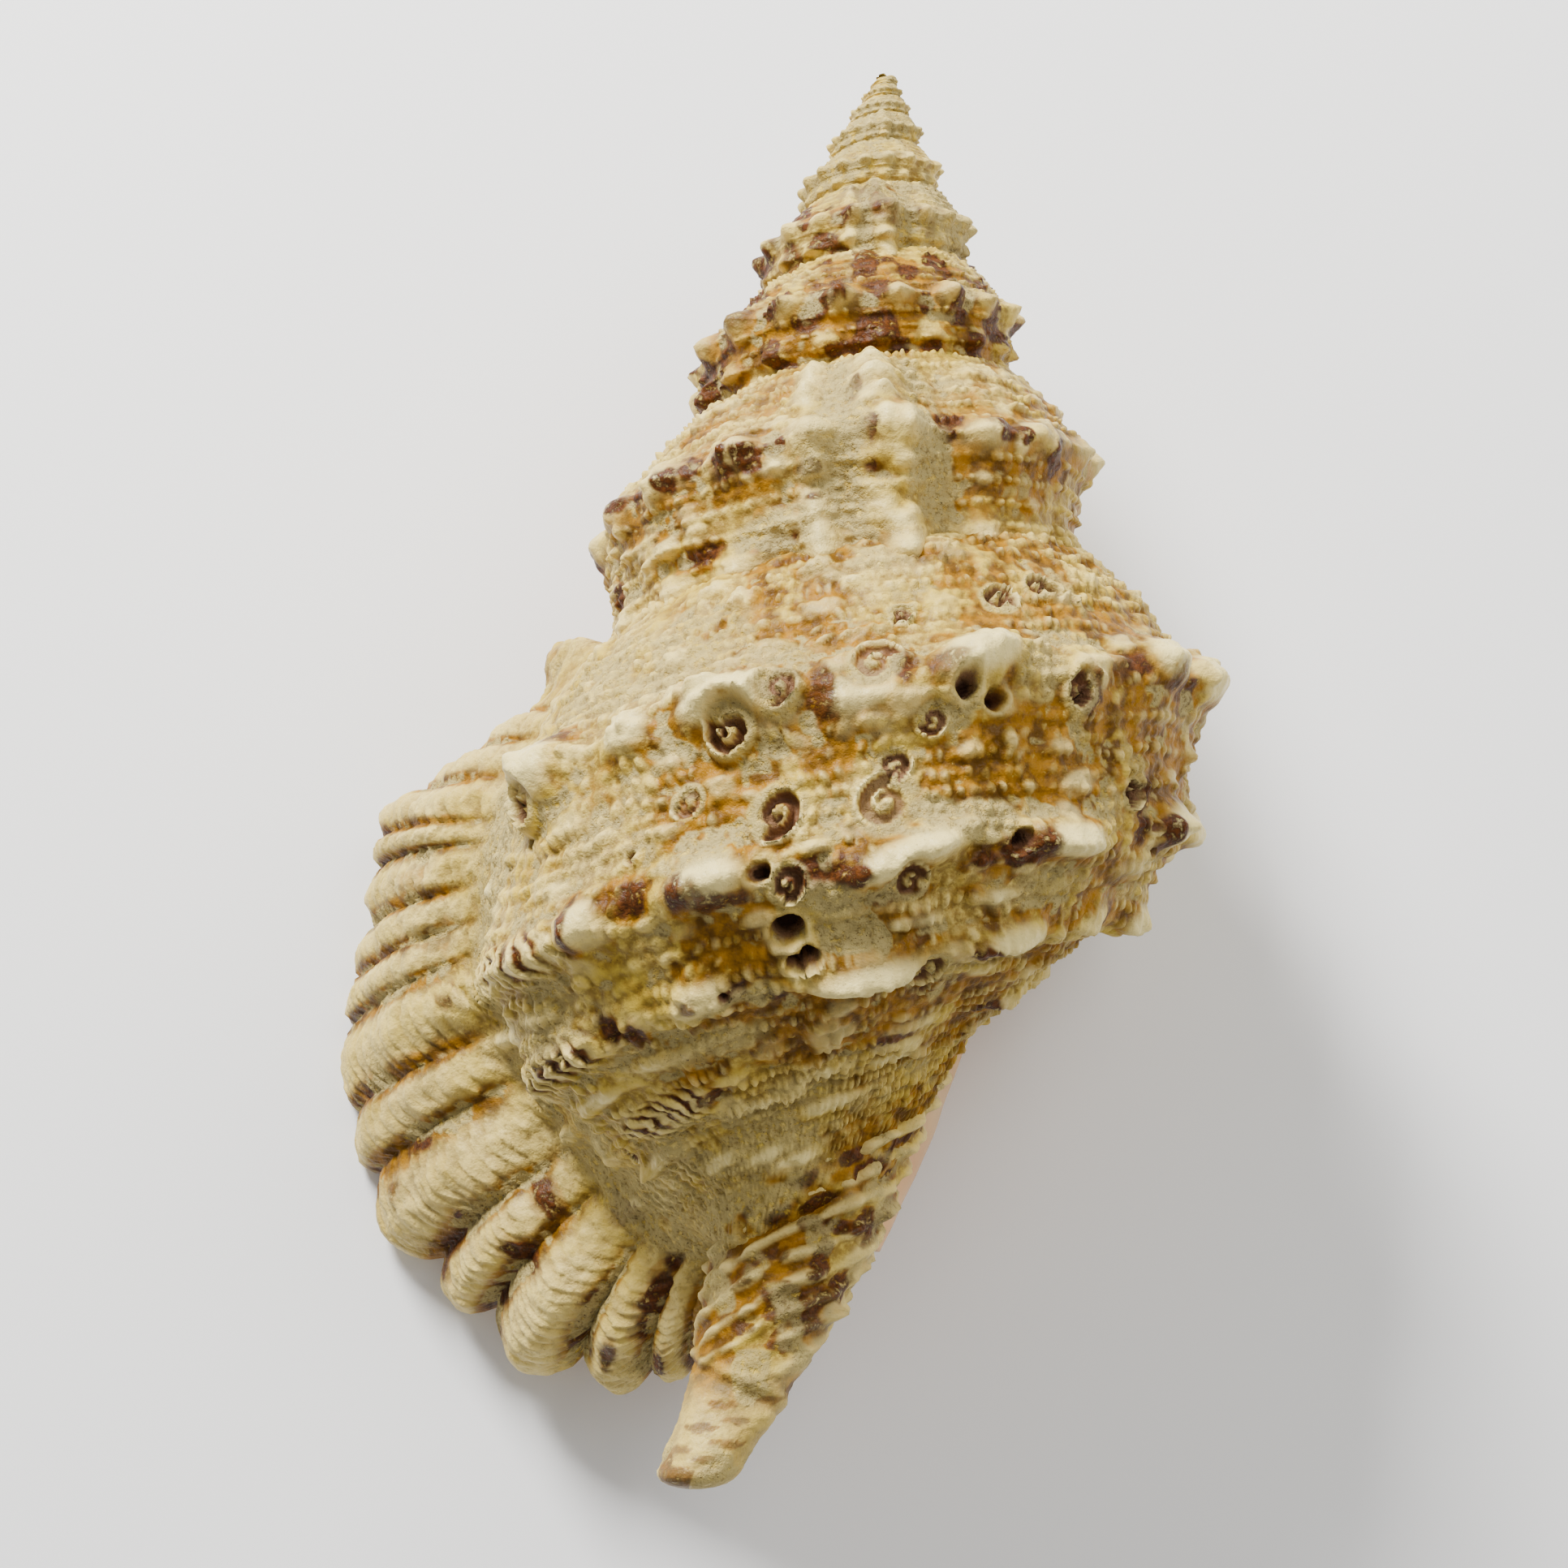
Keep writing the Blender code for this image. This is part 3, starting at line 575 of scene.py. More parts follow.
# Stains: growth angle, profile, reach along and across in mm, strength
ochreSpots = [
    (21, 37, 3, 6, 1), (19, 42, 3, 5, 1), (26, 41, 5, 7, 0.7), (6, 33, 5, 7, 1), (10, 17, 3, 2.5, 0.8),
    (28, 17, 2.5, 2.5, 0.8), (12, 24, 7, 4, 0.4), (-20, 22, 4, 3, 0.7), (-16, 14, 3, 2.5, 0.6),
    (-33, 20, 5, 3.5, 0.6), (-21, 37, 5, 3.5, 0.9), (-34, 39, 6, 5, 0.9), (-18, 43, 5, 5, 0.9),
    (-36, 43, 6, 4, 0.9), (-12, 39, 4, 4, 0.6), (-10, 44, 2.5, 4, 0.8), (-12, 46, 3, 2.5, 0.9),
    (-37, 47, 4, 2.5, 0.8), (-36, 33, 3, 3, 0.6), (-48, 34, 4, 5, 0.7), (-61, 38, 4, 7, 0.7),
    (-66, 46, 3, 5, 0.7), (22, 56, 6, 5, 0.7), (18, 60, 4, 4, 0.6), (18, 52, 4, 3, 0.5),
    (-8, 60, 2, 3.5, 0.7), (3, 61, 5, 2.5, 0.6), (18, 67, 6, 3, 1), (8, 69, 6, 3, 0.9),
    (-16, 72, 7, 2, 0.8), (-30, 71, 6, 2.5, 0.7), (18, 71, 5, 3, 0.8), (-9, 75, 5, 3, 0.6),
    (4, 37, 3, 4, 0.5), (-4, 34, 4, 3, 0.5), (-6, 51, 4, 1.5, 0.6), (-714, 18, 7, 3, 0.8),
    (-716, 34, 8, 4, 0.9), (-748, 26, 6, 4, 0.7), (-674, 34, 4, 4, 0.8), (-310, 20, 3, 2, 0.9),
    (-328, 28, 3, 2, 0.8), (-328, 36, 4, 2, 0.8), (-380, 35, 3, 3, 0.8), (-390, 37, 4, 4, 0.7),
    (-403, 38, 4, 4, 0.6), (-416, 34, 2, 4, 0.8), (-308, 37, 5, 3, 0.7), (-296, 34, 4, 3, 0.8),
    (-288, 33, 3, 3, 0.7), (-266, 32, 2, 4, 0.6), (-381, 41, 4, 3, 0.6), (109, 48, 3, 2, 0.7),
    (112, 41, 3, 2, 0.8), (56, 33, 3, 2, 0.5), (-80, 40, 5, 7, 0.8), (-95, 36, 5, 6, 0.7),
    (-84, 56, 6, 3, 0.7), (-50, 56, 6, 3, 0.5), (-60, 70, 8, 3, 0.7), (-40, 84, 7, 3, 0.6),
    (-48, 22, 6, 4, 0.6), (-66, 20, 6, 4, 0.5), (-10, 8, 5, 2, 0.4), (-435, 30, 5, 5, 0.7),
    (-455, 26, 5, 4, 0.6), (0, 106, 8, 4, 0.5), (-30, 104, 7, 4, 0.7), (-60, 102, 8, 5, 0.7),
    (24, 104, 6, 4, 0.4), (-14, 98, 5, 2.5, 0.4), (-90, 100, 8, 6, 0.8), (60, 108, 6, 4, 0.5),
    (-45, 112, 9, 4, 0.8), (10, 112, 8, 4, 0.6), (-12, 62, 5, 2, 0.5), (12, 74, 6, 2, 0.7),
]
brownSpots = [
    (14, 30, 2, 2, 0.6), (8, 32, 2, 3, 0.7), (-4, 29, 1.2, 2, 0.9), (-10, 30, 2, 1.5, 0.6),
    (-35, 33, 1.5, 2.5, 0.8), (-42, 30, 2, 1.5, 0.6), (-46, 29, 2, 1.5, 0.8), (-54, 31, 1.5, 1.5, 0.6),
    (-58, 32, 1.5, 1.5, 0.7), (-62, 33, 1, 3, 0.9), (-48, 45, 1.5, 1.5, 1), (-52, 46, 1.5, 3, 0.8),
    (-52, 49, 1.5, 2, 0.9), (-58, 49, 1.2, 2.5, 0.9), (-23, 51, 2.5, 1.5, 1), (-24, 52, 3, 1, 0.9),
    (-18, 52, 2, 1.2, 0.8), (-26, 51, 1.5, 2, 0.8), (8, 51, 4, 1.5, 1), (4, 52, 3, 1, 0.9),
    (22, 52.5, 3.5, 1, 0.7), (26, 51, 2, 1.5, 0.6), (-4, 55, 4, 0.8, 0.6), (22, 63, 1.6, 1.2, 0.9),
    (16, 65, 2, 1, 0.9), (-22, 63, 2, 1, 0.9), (-42, 78, 2.2, 1, 0.9), (-10, 78, 3, 0.8, 0.7),
    (-55, 62, 1.5, 1.5, 0.8), (-316, 46, 3, 1.2, 0.9), (19, 6, 2.5, 1, 0.5), (-12, 10, 4, 1, 0.5),
    (36, 50, 2, 2, 0.9), (40, 49, 1.5, 1.5, 0.6), (28, 51, 1.5, 2, 0.8), (46, 51, 1, 2.5, 0.8),
    (54, 28, 2, 1.2, 0.6), (46, 63, 1.2, 1.8, 0.8), (42, 65, 1.2, 1.5, 0.9), (30, 63, 1, 1, 0.6),
    (36, 78, 2, 1, 0.7), (100, 87, 2.6, 2.2, 1), (109, 77, 1.5, 3, 0.8), (116, 73, 3, 1.6, 1),
    (114, 80, 2, 2.6, 1), (116, 64, 3, 1.2, 0.9), (122, 66, 1.5, 1.5, 0.6), (126, 82, 2, 2, 0.9),
    (126, 75, 1.5, 1.5, 0.7), (118, 92, 5, 1.2, 0.8), (112, 92, 3, 1, 0.7), (118, 97, 2.5, 1, 0.7),
    (110, 101, 4.5, 1.6, 0.9), (121, 104, 2.5, 1.6, 0.9), (-720, 30, 1.2, 1, 0.7), (-705, 30, 1.4, 1.6, 1),
    (-721, 26, 2.2, 1.1, 1), (-682, 30, 1.6, 1.2, 0.9), (-668, 29, 1.5, 1.5, 0.6), (-710, 45, 4, 0.8, 1),
    (-742, 46, 1.6, 1, 0.9), (-751, 32, 1, 1, 0.7), (-378, 27, 2, 1.7, 1), (-392, 30, 1.8, 1.6, 1),
    (-410, 34, 1.5, 2, 1), (-331, 32, 1.6, 1.9, 1), (-324, 31, 1.4, 1.5, 0.9), (-315, 30, 1.7, 1.7, 0.9),
    (-310, 32, 1.4, 1.4, 0.9), (-298, 30, 1.8, 1.4, 1), (-325, 34, 1.2, 1, 0.8), (-290, 31, 2, 1, 0.8),
    (-336, 48, 2.5, 1, 0.8), (-357, 31, 0.7, 0.8, 0.7), (-354, 22, 0.9, 1.6, 0.9),
    (-358, 37, 0.7, 0.9, 0.9), (-345, 36, 1.2, 0.8, 0.9), (-346, 41, 1.2, 0.6, 0.9),
    (-279, 44, 1.5, 2.6, 1), (-266, 33, 1, 1.5, 0.8), (-9, 59, 1.2, 2.5, 0.4), (112, 48, 1, 1.5, 0.5),
    (-84, 31, 1.5, 2, 0.8), (-104, 31, 1.5, 2, 0.8), (-76, 50, 1.5, 1.6, 0.8), (-100, 50, 1.6, 1.6, 0.7),
    (-84, 64, 1.6, 1.4, 0.8), (-20, 103, 2.2, 1.2, 0.9), (6, 104, 1.8, 1.4, 0.8), (-36, 107, 2.6, 1.4, 1),
    (-8, 110, 2.4, 1.2, 0.9), (-52, 104, 2.2, 1.6, 0.9), (16, 110, 1.8, 1.2, 0.8), (-28, 112, 3, 1.4, 1),
    (-58, 111, 2.4, 1.6, 0.9), (38, 106, 1.6, 1.2, 0.7), (-1062, 30, 1.4, 1.2, 0.8),
    (-1080, 28, 1.3, 1.2, 0.8), (-1098, 30, 1.3, 1.2, 0.8),
]


def stain():
    ragged = 0.5 * noise(bare, 2.2, 41) + 0.5 * noise(bare, 0.9, 42)
    for name, spots, edge in (("ochre", ochreSpots, 0.4), ("brown", brownSpots, 0.34)):
        for g, t, along, across, strength in spots:
            where, u, v = patch(g, t, 2.4 * max(along, across))
            far = np.sqrt((u / along) ** 2 + (v / across) ** 2)
            far = far + 1.5 * (ragged[where] - 0.5)
            spot = strength * (1.0 - smooth(far, 1.0 - edge, 1.0 + 2 * edge))
            lay(name, spot, where)
            if name == "brown":  # with an ochre halo
                lay("ochre", strength * (1.0 - smooth(far, 1.0, 2.3)), where)
    # dark squares between the nodules of the older whorls, on the side that no spot above covers
    away = fromNearest(G, nodules["first"], nodules["step"])
    square = lump((np.abs(away) - nodules["step"] / 2) / 3.4) * lump((T - 31.0) / 2.6)
    square = square * (1.0 - smooth(G, -300.0, -280.0)) * smooth(G, -1500.0, -1000.0)
    chosen = smooth(noise(sheet(G / 14.0, 0 * T), 1.0, 43), 0.42, 0.5)
    lay("brown", 0.9 * smooth(square + 0.5 * (ragged - 0.5), 0.45, 0.7) * chosen)
    # ochre clouds everywhere between the beads, more of them on the spire
    cloud = smooth(0.6 * noise(bare, 7.0, 44) + 0.4 * noise(bare, 2.6, 45), 0.47, 0.68)
    spire = smooth(-G, 380.0, 620.0) * (1.0 - smooth(-G, 1050.0, 1400.0))
    body = (1.0 - smooth(G, 25.0, 70.0)) * (1.0 - smooth(-G, 100.0, 130.0))
    share = np.clip(0.5 * body + 0.95 * spire + 0.45, 0.0, 1.0) * (1.0 - 0.8 * smooth(G, 24.0, 60.0))
    share = share * (1.0 - 0.5 * smooth(T, 72.0, 84.0) * smooth(G, -40.0, -10.0))
    lay("ochre", cloud * share * (1.0 - 0.6 * smooth(-G, 1100.0, 1500.0)))
    under = smooth(-G, 380.0, 620.0) * (1.0 - smooth(-G, 1000.0, 1300.0))
    under = under * (0.6 + 0.4 * noise(bare, 7.0, 47))
    lay("brown", under * smooth(noise(bare, 3.0, 46), 0.47, 0.62))
    field["white"] = field["white"] * (1.0 - 0.45 * smooth(-G, 380.0, 620.0))


# Chalky crust: where it lies thick, as growth angle, profile, reach along and across, strength
crust = {
    "patches": [
        (85, 40, 12, 12, 0.9), (88, 58, 9, 8, 0.7), (84, 72, 10, 6, 0.9), (60, 60, 12, 4, 0.6),
        (90, 88, 10, 8, 0.9), (66, 92, 12, 6, 0.7), (-17, 47.5, 5, 2.4, 1), (-8, 46.5, 4, 2.5, 0.9),
        (6, 54.5, 6, 2.5, 0.9), (22, 64.5, 6, 2.2, 0.8), (40, 20, 14, 8, 0.6), (60, 18, 12, 8, 0.6),
        (14, 31, 3, 4, 0.6), (26, 47.6, 6, 1.5, 0.8), (30, 70, 8, 3, 0.6), (-3, 38, 3, 5, 0.3),
        (0, 9, 12, 3, 0.5), (18, 25, 9, 3, 0.5), (5, 57, 5, 3, 0.6), (-20, 66, 8, 2, 0.5),
        (-30, 56, 10, 3, 0.5), (50, 84, 12, 4, 0.8), (104, 62, 4, 5, 0.6), (-26, 30, 4, 4, 0.6),
        (46, 42, 8, 6, 0.4), (30, 92, 14, 6, 0.6), (8, 90, 10, 4, 0.5), (40, 104, 12, 6, 0.6),
        (70, 104, 10, 6, 0.7), (18, 84, 12, 3, 0.5), (-1200, 24, 30, 30, 0.7), (-350, 30, 5, 14, 0.7),
        (-371, 34, 3, 9, 0.9), (-340, 46, 8, 3, 0.9),
    ],
    "rise": 0.35,
}


def layCrust():
    coarse = 0.6 * noise(bare, 5.0, 51) + 0.4 * noise(bare, 1.8, 52)
    for g, t, along, across, strength in crust["patches"]:
        where, u, v = patch(g, t, 2.2 * max(along, across))
        far = np.sqrt((u / along) ** 2 + (v / across) ** 2) + 1.4 * (coarse[where] - 0.5)
        spot = strength * (1.0 - smooth(far, 0.6, 1.35))
        lay("crust", spot, where)
    low = field["height"] - blurred(field["height"], 9)
    recess = smooth(-low, 0.05, 0.9)
    dust = smooth(coarse + 0.22 * recess, 0.62, 0.78) * (0.45 + 0.55 * recess)
    apex = smooth(-G, 1000.0, 1500.0)
    lay("crust", dust)
    lay("crust", 0.7 * apex * smooth(coarse, 0.3, 0.6))
    offKnobs = 1.15 - 0.7 * field["white"]
    field["crust"] = np.clip(field["crust"] * offKnobs, 0, 1) * smooth(coarse, 0.2, 0.42)
    grain = 0.6 * noise(bare, 1.1, 53) + 0.4 * noise(bare, 0.6, 54)
    scale = np.clip(sizeAt, 0.3, 1.0)
    field["height"] += crust["rise"] * scale * field["crust"] * (1.6 * grain - 0.3)


# The side of the last whorl that the aperture's glaze covers, smooth and without relief
glazeAngles = (-262.0, -240.0, -166.0, -148.0)


def glazed(angle):
    deep, mouth, callus, free = glazeAngles
    return smooth(angle, deep, mouth) * (1.0 - smooth(angle, callus, free))


growNodules()
keepBeads = growVarices()
lipShare = growLip()
growScales()
growRidges()
growBeads(keepBeads, lipShare)
growWarts()
# Unevenness of all sizes: grain in mm, seed, rise in mm
unevenness = [(12.0, 61, 0.8), (4.2, 62, 1.0), (1.9, 64, 0.6), (1.0, 65, 0.35)]
rough = sum(rise * noise(bare, grain, seed) for grain, seed, rise in unevenness)
field["height"] += np.clip(sizeAt, 0.3, 1.0) * (rough - 1.35)
growthLines = noise(sheet(arcLength[:, None] / 1.4, T / 11.0), 1.0, 63)
field["height"] += 0.35 * (growthLines - 0.5)
growWormTubes()
stain()
layCrust()
glazeShare = glazed(G) + 0 * T
for name in field:
    field[name] = field[name] * (1.0 - glazeShare)
field["glaze"] = glazeShare
sink = 1.7 * smooth(T, 106.5, profileMarks[-1]) * (1.0 - smooth(G, 90.0, 104.0))
field["height"] -= sink
# local height over the surroundings: the material paints shade into the grooves from it and lightens the
# tops, partly as a painted highlight
low = field["height"] - blurred(field["height"], 5)
field["high"] = np.clip(0.5 + low / (1.5 * np.clip(sizeAt, 0.35, 1.0)), 0.0, 1.0)
retreat = lip["notchRetreat"] * smooth(G, 106.0, lip["edge"]) * (1.0 - ribShape) * (ribWidth / 9.0)
skin = bare + field["height"][..., None] * bareNormals - retreat[..., None] * ahead
skinNormals = gridNormals(skin)
print("relief and stains laid on the outer wall")

# The pose in which the shell rests on its lip and its callus shield, the same as the solid's
rest = {"roll": 5.0, "pitch": -0.9, "shift": (15.094, 103.718, 40.002)}
rollMatrix = Matrix.Rotation(math.radians(rest["roll"]), 4, "Y")
turnMatrix = rollMatrix @ Matrix.Rotation(math.radians(rest["pitch"]), 4, "X")
restMatrix = Matrix.Translation([v * mm for v in rest["shift"]]) @ turnMatrix
restTurn = np.array(turnMatrix)[:3, :3]


def atRest(points):
    place = (points @ restTurn.T + np.array(rest["shift"])) * mm
    place[..., 2] = np.maximum(place[..., 2], 0.0)  # worn flat where it stands
    return place


def meshFromGrid(name, points, normals, masks, material, wrap=False, flip=False):
    rows, columns = points.shape[:2]
    i, j = np.meshgrid(np.arange(rows - 1), np.arange(columns if wrap else columns - 1), indexing="ij")
    k = (j + 1) % columns
    faces = np.stack([i * columns + j, i * columns + k, (i + 1) * columns + k, (i + 1) * columns + j], -1)
    faces = faces.reshape(-1, 4)
    if not flip:
        faces = faces[:, ::-1]
    mesh = bpy.data.meshes.new(name)
    mesh.vertices.add(rows * columns)
    mesh.vertices.foreach_set("co", atRest(points).reshape(-1).astype(np.float32))
    mesh.loops.add(faces.size)
    mesh.loops.foreach_set("vertex_index", faces.reshape(-1).astype(np.int32))
    mesh.polygons.add(len(faces))
    mesh.polygons.foreach_set("loop_start", (np.arange(len(faces)) * 4).astype(np.int32))
    mesh.update(calc_edges=True)
    mesh.shade_smooth()
    for label, values in masks.items():
        layer = mesh.attributes.new(label, "FLOAT", "POINT")
        layer.data.foreach_set("value", np.ascontiguousarray(values, np.float32).reshape(-1))
    if normals is not None:
        mesh.normals_split_custom_set_from_vertices((normals @ restTurn.T).reshape(-1, 3).tolist())
    mesh.materials.append(material)
    piece = bpy.data.objects.new(name, mesh)
    bpy.context.scene.collection.objects.link(piece)
    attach(piece, "root")
    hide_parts("shell")
    print("piece", name, len(faces) * 2, "triangles")
    return piece


def linear(hexColour):
    parts = [int(hexColour[k:k + 2], 16) / 255.0 for k in (1, 3, 5)]
    return [c / 12.92 if c <= 0.04045 else ((c + 0.055) / 1.055) ** 2.4 for c in parts] + [1.0]


def addNode(tree, kind, links=(), **settings):
    # one node with its settings, and links as (input, source node, output)
    node = tree.nodes.new(kind)
    for key, value in settings.items():
        if key.startswith("in_"):
            slot = key[3:]
            node.inputs[int(slot) if slot.isdigit() else slot.replace("_", " ")].default_value = value
        else:
            setattr(node, key, value)
    for target, source, output in links:
        tree.links.new(source.outputs[output], node.inputs[target])
    return node


def emptyMaterial(name):
    material = bpy.data.materials.new(name)
    material.use_nodes = True
    tree = material.node_tree
    return material, tree, tree.nodes["Principled BSDF"]


shellTones = {
    # the dark groove tone is a tan mottle and also painted shade in the grooves between the beads
    "cream": "#c6a83c", "paleCream": "#d8be68", "straw": "#a98426", "tanMottleAndGrooveShade": "#71521a",
    # the top tone lightens raised tops, partly wear and partly a painted highlight
    "gold": "#9a6a08", "ochre": "#5f3f0a", "top": "#d8b962", "knob": "#ebd78e",
    "brown": "#351a0b", "rust": "#5e3411", "crustDark": "#74653f", "crust": "#ab9a64", "speck": "#33261a",
    # the hole tone is partly the stain of the worm holes and partly painted shade on their floors
    "tube": "#6f4c36", "pitStainAndShade": "#2c1810", "glaze": "#dca562",
}


def weatheredShell():
    # Aragonite, grown layer on layer and then worn on the sea floor: cream, dull in the chalky crust and
    # with a soft gloss on the knobs, stained ochre and brown between its beads
    material, tree, shader = emptyMaterial("weathered aragonite")
    place = addNode(tree, "ShaderNodeTexCoord")
    mask = {
        label: addNode(tree, "ShaderNodeAttribute", attribute_name=label)
        for label in ("high", "ochre", "brown", "crust", "white", "pit", "glaze")
    }

    def cloud(grainMm, detail=3.0):
        return addNode(
            tree, "ShaderNodeTexNoise", [("Vector", place, "Object")],
            in_Scale=1.0 / (grainMm * mm), in_Detail=detail, in_Roughness=0.6,
        )

    def ramp(source, output, low, high, top=1.0):
        return addNode(
            tree, "ShaderNodeMapRange", [("Value", source, output)], interpolation_type="SMOOTHSTEP",
            in_1=low, in_2=high, in_3=0.0, in_4=top,
        )

    def times(a, outA, b, outB):
        return addNode(
            tree, "ShaderNodeMath", [(0, a, outA), (1, b, outB)], operation="MULTIPLY", use_clamp=True,
        )

    def tone(name):
        return linear(shellTones[name])

    def mixed(share, first, second):
        # a share of the second tone in the first
        tones = {"in_6": tone(first), "in_7": tone(second)}
        return addNode(tree, "ShaderNodeMix", [("Factor", share, 0)], data_type="RGBA", **tones)

    def over(share, shareOut, under, tones):
        # a tone, or a node that gives one, over what lies under it
        links = [("Factor", share, shareOut), (6, under, 2)]
        if isinstance(tones, str):
            return addNode(tree, "ShaderNodeMix", links, data_type="RGBA", in_7=tone(tones))
        return addNode(tree, "ShaderNodeMix", links + [(7, tones, 2)], data_type="RGBA")

    broad, middle, fine, grit = cloud(11.0), cloud(3.0), cloud(1.0), cloud(0.4, 2.0)

    # cream ground, yellower in clouds, with a tan mottle and painted shade that darkens the grooves between
    # the beads
    groove = ramp(mask["high"], "Fac", 0.66, 0.3)
    colour = mixed(ramp(broad, 0, 0.35, 0.65), "cream", "paleCream")
    colour = over(ramp(middle, 0, 0.45, 0.72, 0.6), 0, colour, "straw")
    # painted shade: the dark tan follows the grooves in the local height
    colour = over(times(groove, 0, ramp(fine, 0, 0.2, 0.6, 0.75), 0), 0, colour, "tanMottleAndGrooveShade")
    mottle = times(ramp(cloud(0.9), 0, 0.5, 0.66, 0.55), 0, ramp(broad, 0, 0.3, 0.6), 0)
    # tan mottle of the ground itself, at random
    colour = over(mottle, 0, colour, "tanMottleAndGrooveShade")
    # golden ochre that lies over beads and grooves alike, deepest in the grooves, but under the crust
    depth = addNode(tree, "ShaderNodeMath", [(0, groove, 0)], operation="MULTIPLY_ADD", in_1=0.5, in_2=0.78)
    ochreShare = times(ramp(mask["ochre"], "Fac", 0.12, 0.65), 0, ramp(fine, 0, 0.15, 0.42), 0)
    ochreShare = times(times(ochreShare, 0, depth, 0), 0, ramp(mask["crust"], "Fac", 0.75, 0.15), 0)
    colour = over(ochreShare, 0, colour, mixed(ramp(middle, 0, 0.36, 0.64), "gold", "ochre"))
    # raised tops made lighter from the local height, partly wear and partly a painted highlight, and worn
    # knobs
    wornTopsAndHighlight = times(ramp(mask["high"], "Fac", 0.66, 1.0, 0.36), 0, ramp(middle, 0, 0.25, 0.5), 0)
    colour = over(wornTopsAndHighlight, 0, colour, "top")
    colour = over(times(mask["white"], "Fac", ramp(middle, 0, 0.15, 0.4, 0.92), 0), 0, colour, "knob")
    # dark brown patches
    brownShare = times(ramp(mask["brown"], "Fac", 0.1, 0.8), 0, ramp(fine, 0, 0.2, 0.5), 0)
    colour = over(brownShare, 0, colour, mixed(ramp(fine, 0, 0.4, 0.65), "brown", "rust"))
    # chalky crust with dark specks
    crustShare = times(ramp(mask["crust"], "Fac", 0.1, 0.9, 0.85), 0, ramp(fine, 0, 0.3, 0.5), 0)
    colour = over(crustShare, 0, colour, mixed(ramp(cloud(0.8), 0, 0.3, 0.5), "crustDark", "crust"))
    specks = times(ramp(cloud(0.3, 1.0), 0, 0.65, 0.72), 0, ramp(middle, 0, 0.42, 0.62), 0)
    speckWhere = addNode(
        tree, "ShaderNodeMath", [(0, mask["crust"], "Fac")], operation="MULTIPLY_ADD", in_1=0.6, in_2=0.42,
    )
    colour = over(times(specks, 0, speckWhere, 0), 0, colour, "speck")
    # insides of the worm holes: pinkish-brown stain on the walls, then a dark brown on the floors that is
    # partly stain and partly painted shade, and the aperture's glaze
    colour = over(ramp(mask["pit"], "Fac", 0.05, 0.5, 0.9), 0, colour, "tube")
    colour = over(ramp(mask["pit"], "Fac", 0.5, 0.95, 0.95), 0, colour, "pitStainAndShade")
    colour = over(mask["glaze"], "Fac", colour, "glaze")
    tree.links.new(colour.outputs[2], shader.inputs["Base Color"])
    dull = addNode(
        tree, "ShaderNodeMapRange", [("Value", crustShare, 0)], in_1=0.0, in_2=1.0, in_3=0.46, in_4=0.85,
    )
    worn = [(0, mask["white"], "Fac"), (2, dull, 0)]
    gloss = addNode(tree, "ShaderNodeMath", worn, operation="MULTIPLY_ADD", in_1=-0.16)
    tree.links.new(gloss.outputs[0], shader.inputs["Roughness"])
    shader.inputs["Specular IOR Level"].default_value = 0.14
    grainHeight = addNode(tree, "ShaderNodeMath", [(0, grit, 0), (1, crustShare, 0)], operation="MULTIPLY")
    bump = addNode(
        tree, "ShaderNodeBump", [("Height", grainHeight, 0)], in_Strength=0.7, in_Distance=0.3 * mm,
    )
    skinBump = addNode(
        tree, "ShaderNodeBump", [("Height", fine, 0), ("Normal", bump, 0)], in_Strength=0.85,
        in_Distance=0.34 * mm,
    )
    tree.links.new(skinBump.outputs[0], shader.inputs["Normal"])
    return material


glazeTones = {"cream": "#ecc88e", "peach": "#cf8d52"}


def porcelain():
    # Inner layer of the shell, laid down smooth by the animal: a glazed cream that warms to peach
    material, tree, shader = emptyMaterial("glazed aragonite")
    place = addNode(tree, "ShaderNodeTexCoord")
    onShell = [("Vector", place, "Object")]
    warm = addNode(tree, "ShaderNodeTexNoise", onShell, in_Scale=1.0 / (14.0 * mm), in_Detail=3.0)
    tone = addNode(
        tree, "ShaderNodeMix", [("Factor", warm, 0)], data_type="RGBA",
        in_6=linear(glazeTones["cream"]), in_7=linear(glazeTones["peach"]),
    )
    tree.links.new(tone.outputs[2], shader.inputs["Base Color"])
    shader.inputs["Roughness"].default_value = 0.24
    ripple = addNode(tree, "ShaderNodeTexNoise", onShell, in_Scale=1.0 / (3.0 * mm), in_Detail=2.0)
    bump = addNode(tree, "ShaderNodeBump", [("Height", ripple, 0)], in_Strength=0.25, in_Distance=0.3 * mm)
    tree.links.new(bump.outputs[0], shader.inputs["Normal"])
    return material


shellLook = weatheredShell()
glazeLook = porcelain()


def cutPiece(name, rows, columns):
    # one piece of the outer wall, with the normals of the whole so that no seam shows
    masks = {label: values[rows, columns] for label, values in field.items() if label != "height"}
    return meshFromGrid(name, skin[rows, columns], skinNormals[rows, columns], masks, shellLook)


def cut(values, at):
    return int(np.searchsorted(values, at - 1e-6))


joinRow, mouthRow = cut(gAll, growth["join"]), cut(gAll, growth["mouth"])
valleyRow, splitColumn = cut(gAll, lip["valley"]), cut(tAll, outer["split"])
splitColumn += splitColumn % 2
cutPiece("spire", slice(0, joinRow + 1), slice(0, splitColumn + 1, 2))
cutPiece("penultimate_whorl", slice(joinRow, mouthRow + 1), slice(0, splitColumn + 1))
cutPiece("last_whorl_shoulder", slice(mouthRow, valleyRow + 1), slice(0, splitColumn + 1))
cutPiece("last_whorl_base", slice(mouthRow, valleyRow + 1), slice(splitColumn, None))
parietalRow = cut(gAll, -300.0)
cutPiece("parietal_wall", slice(parietalRow, mouthRow + 1, 2), slice(splitColumn, None, 2))


# The lip with its rounded edge, and the wall's inner side
lining = {
    "deep": -110.0, "rollSteps": 12, "toothRise": 1.1, "toothFrom": 121.0,
    "seatFade": (-0.5, 6.0), "canalFade": (107.0, 115.0), "sinkMore": 1.5,
}


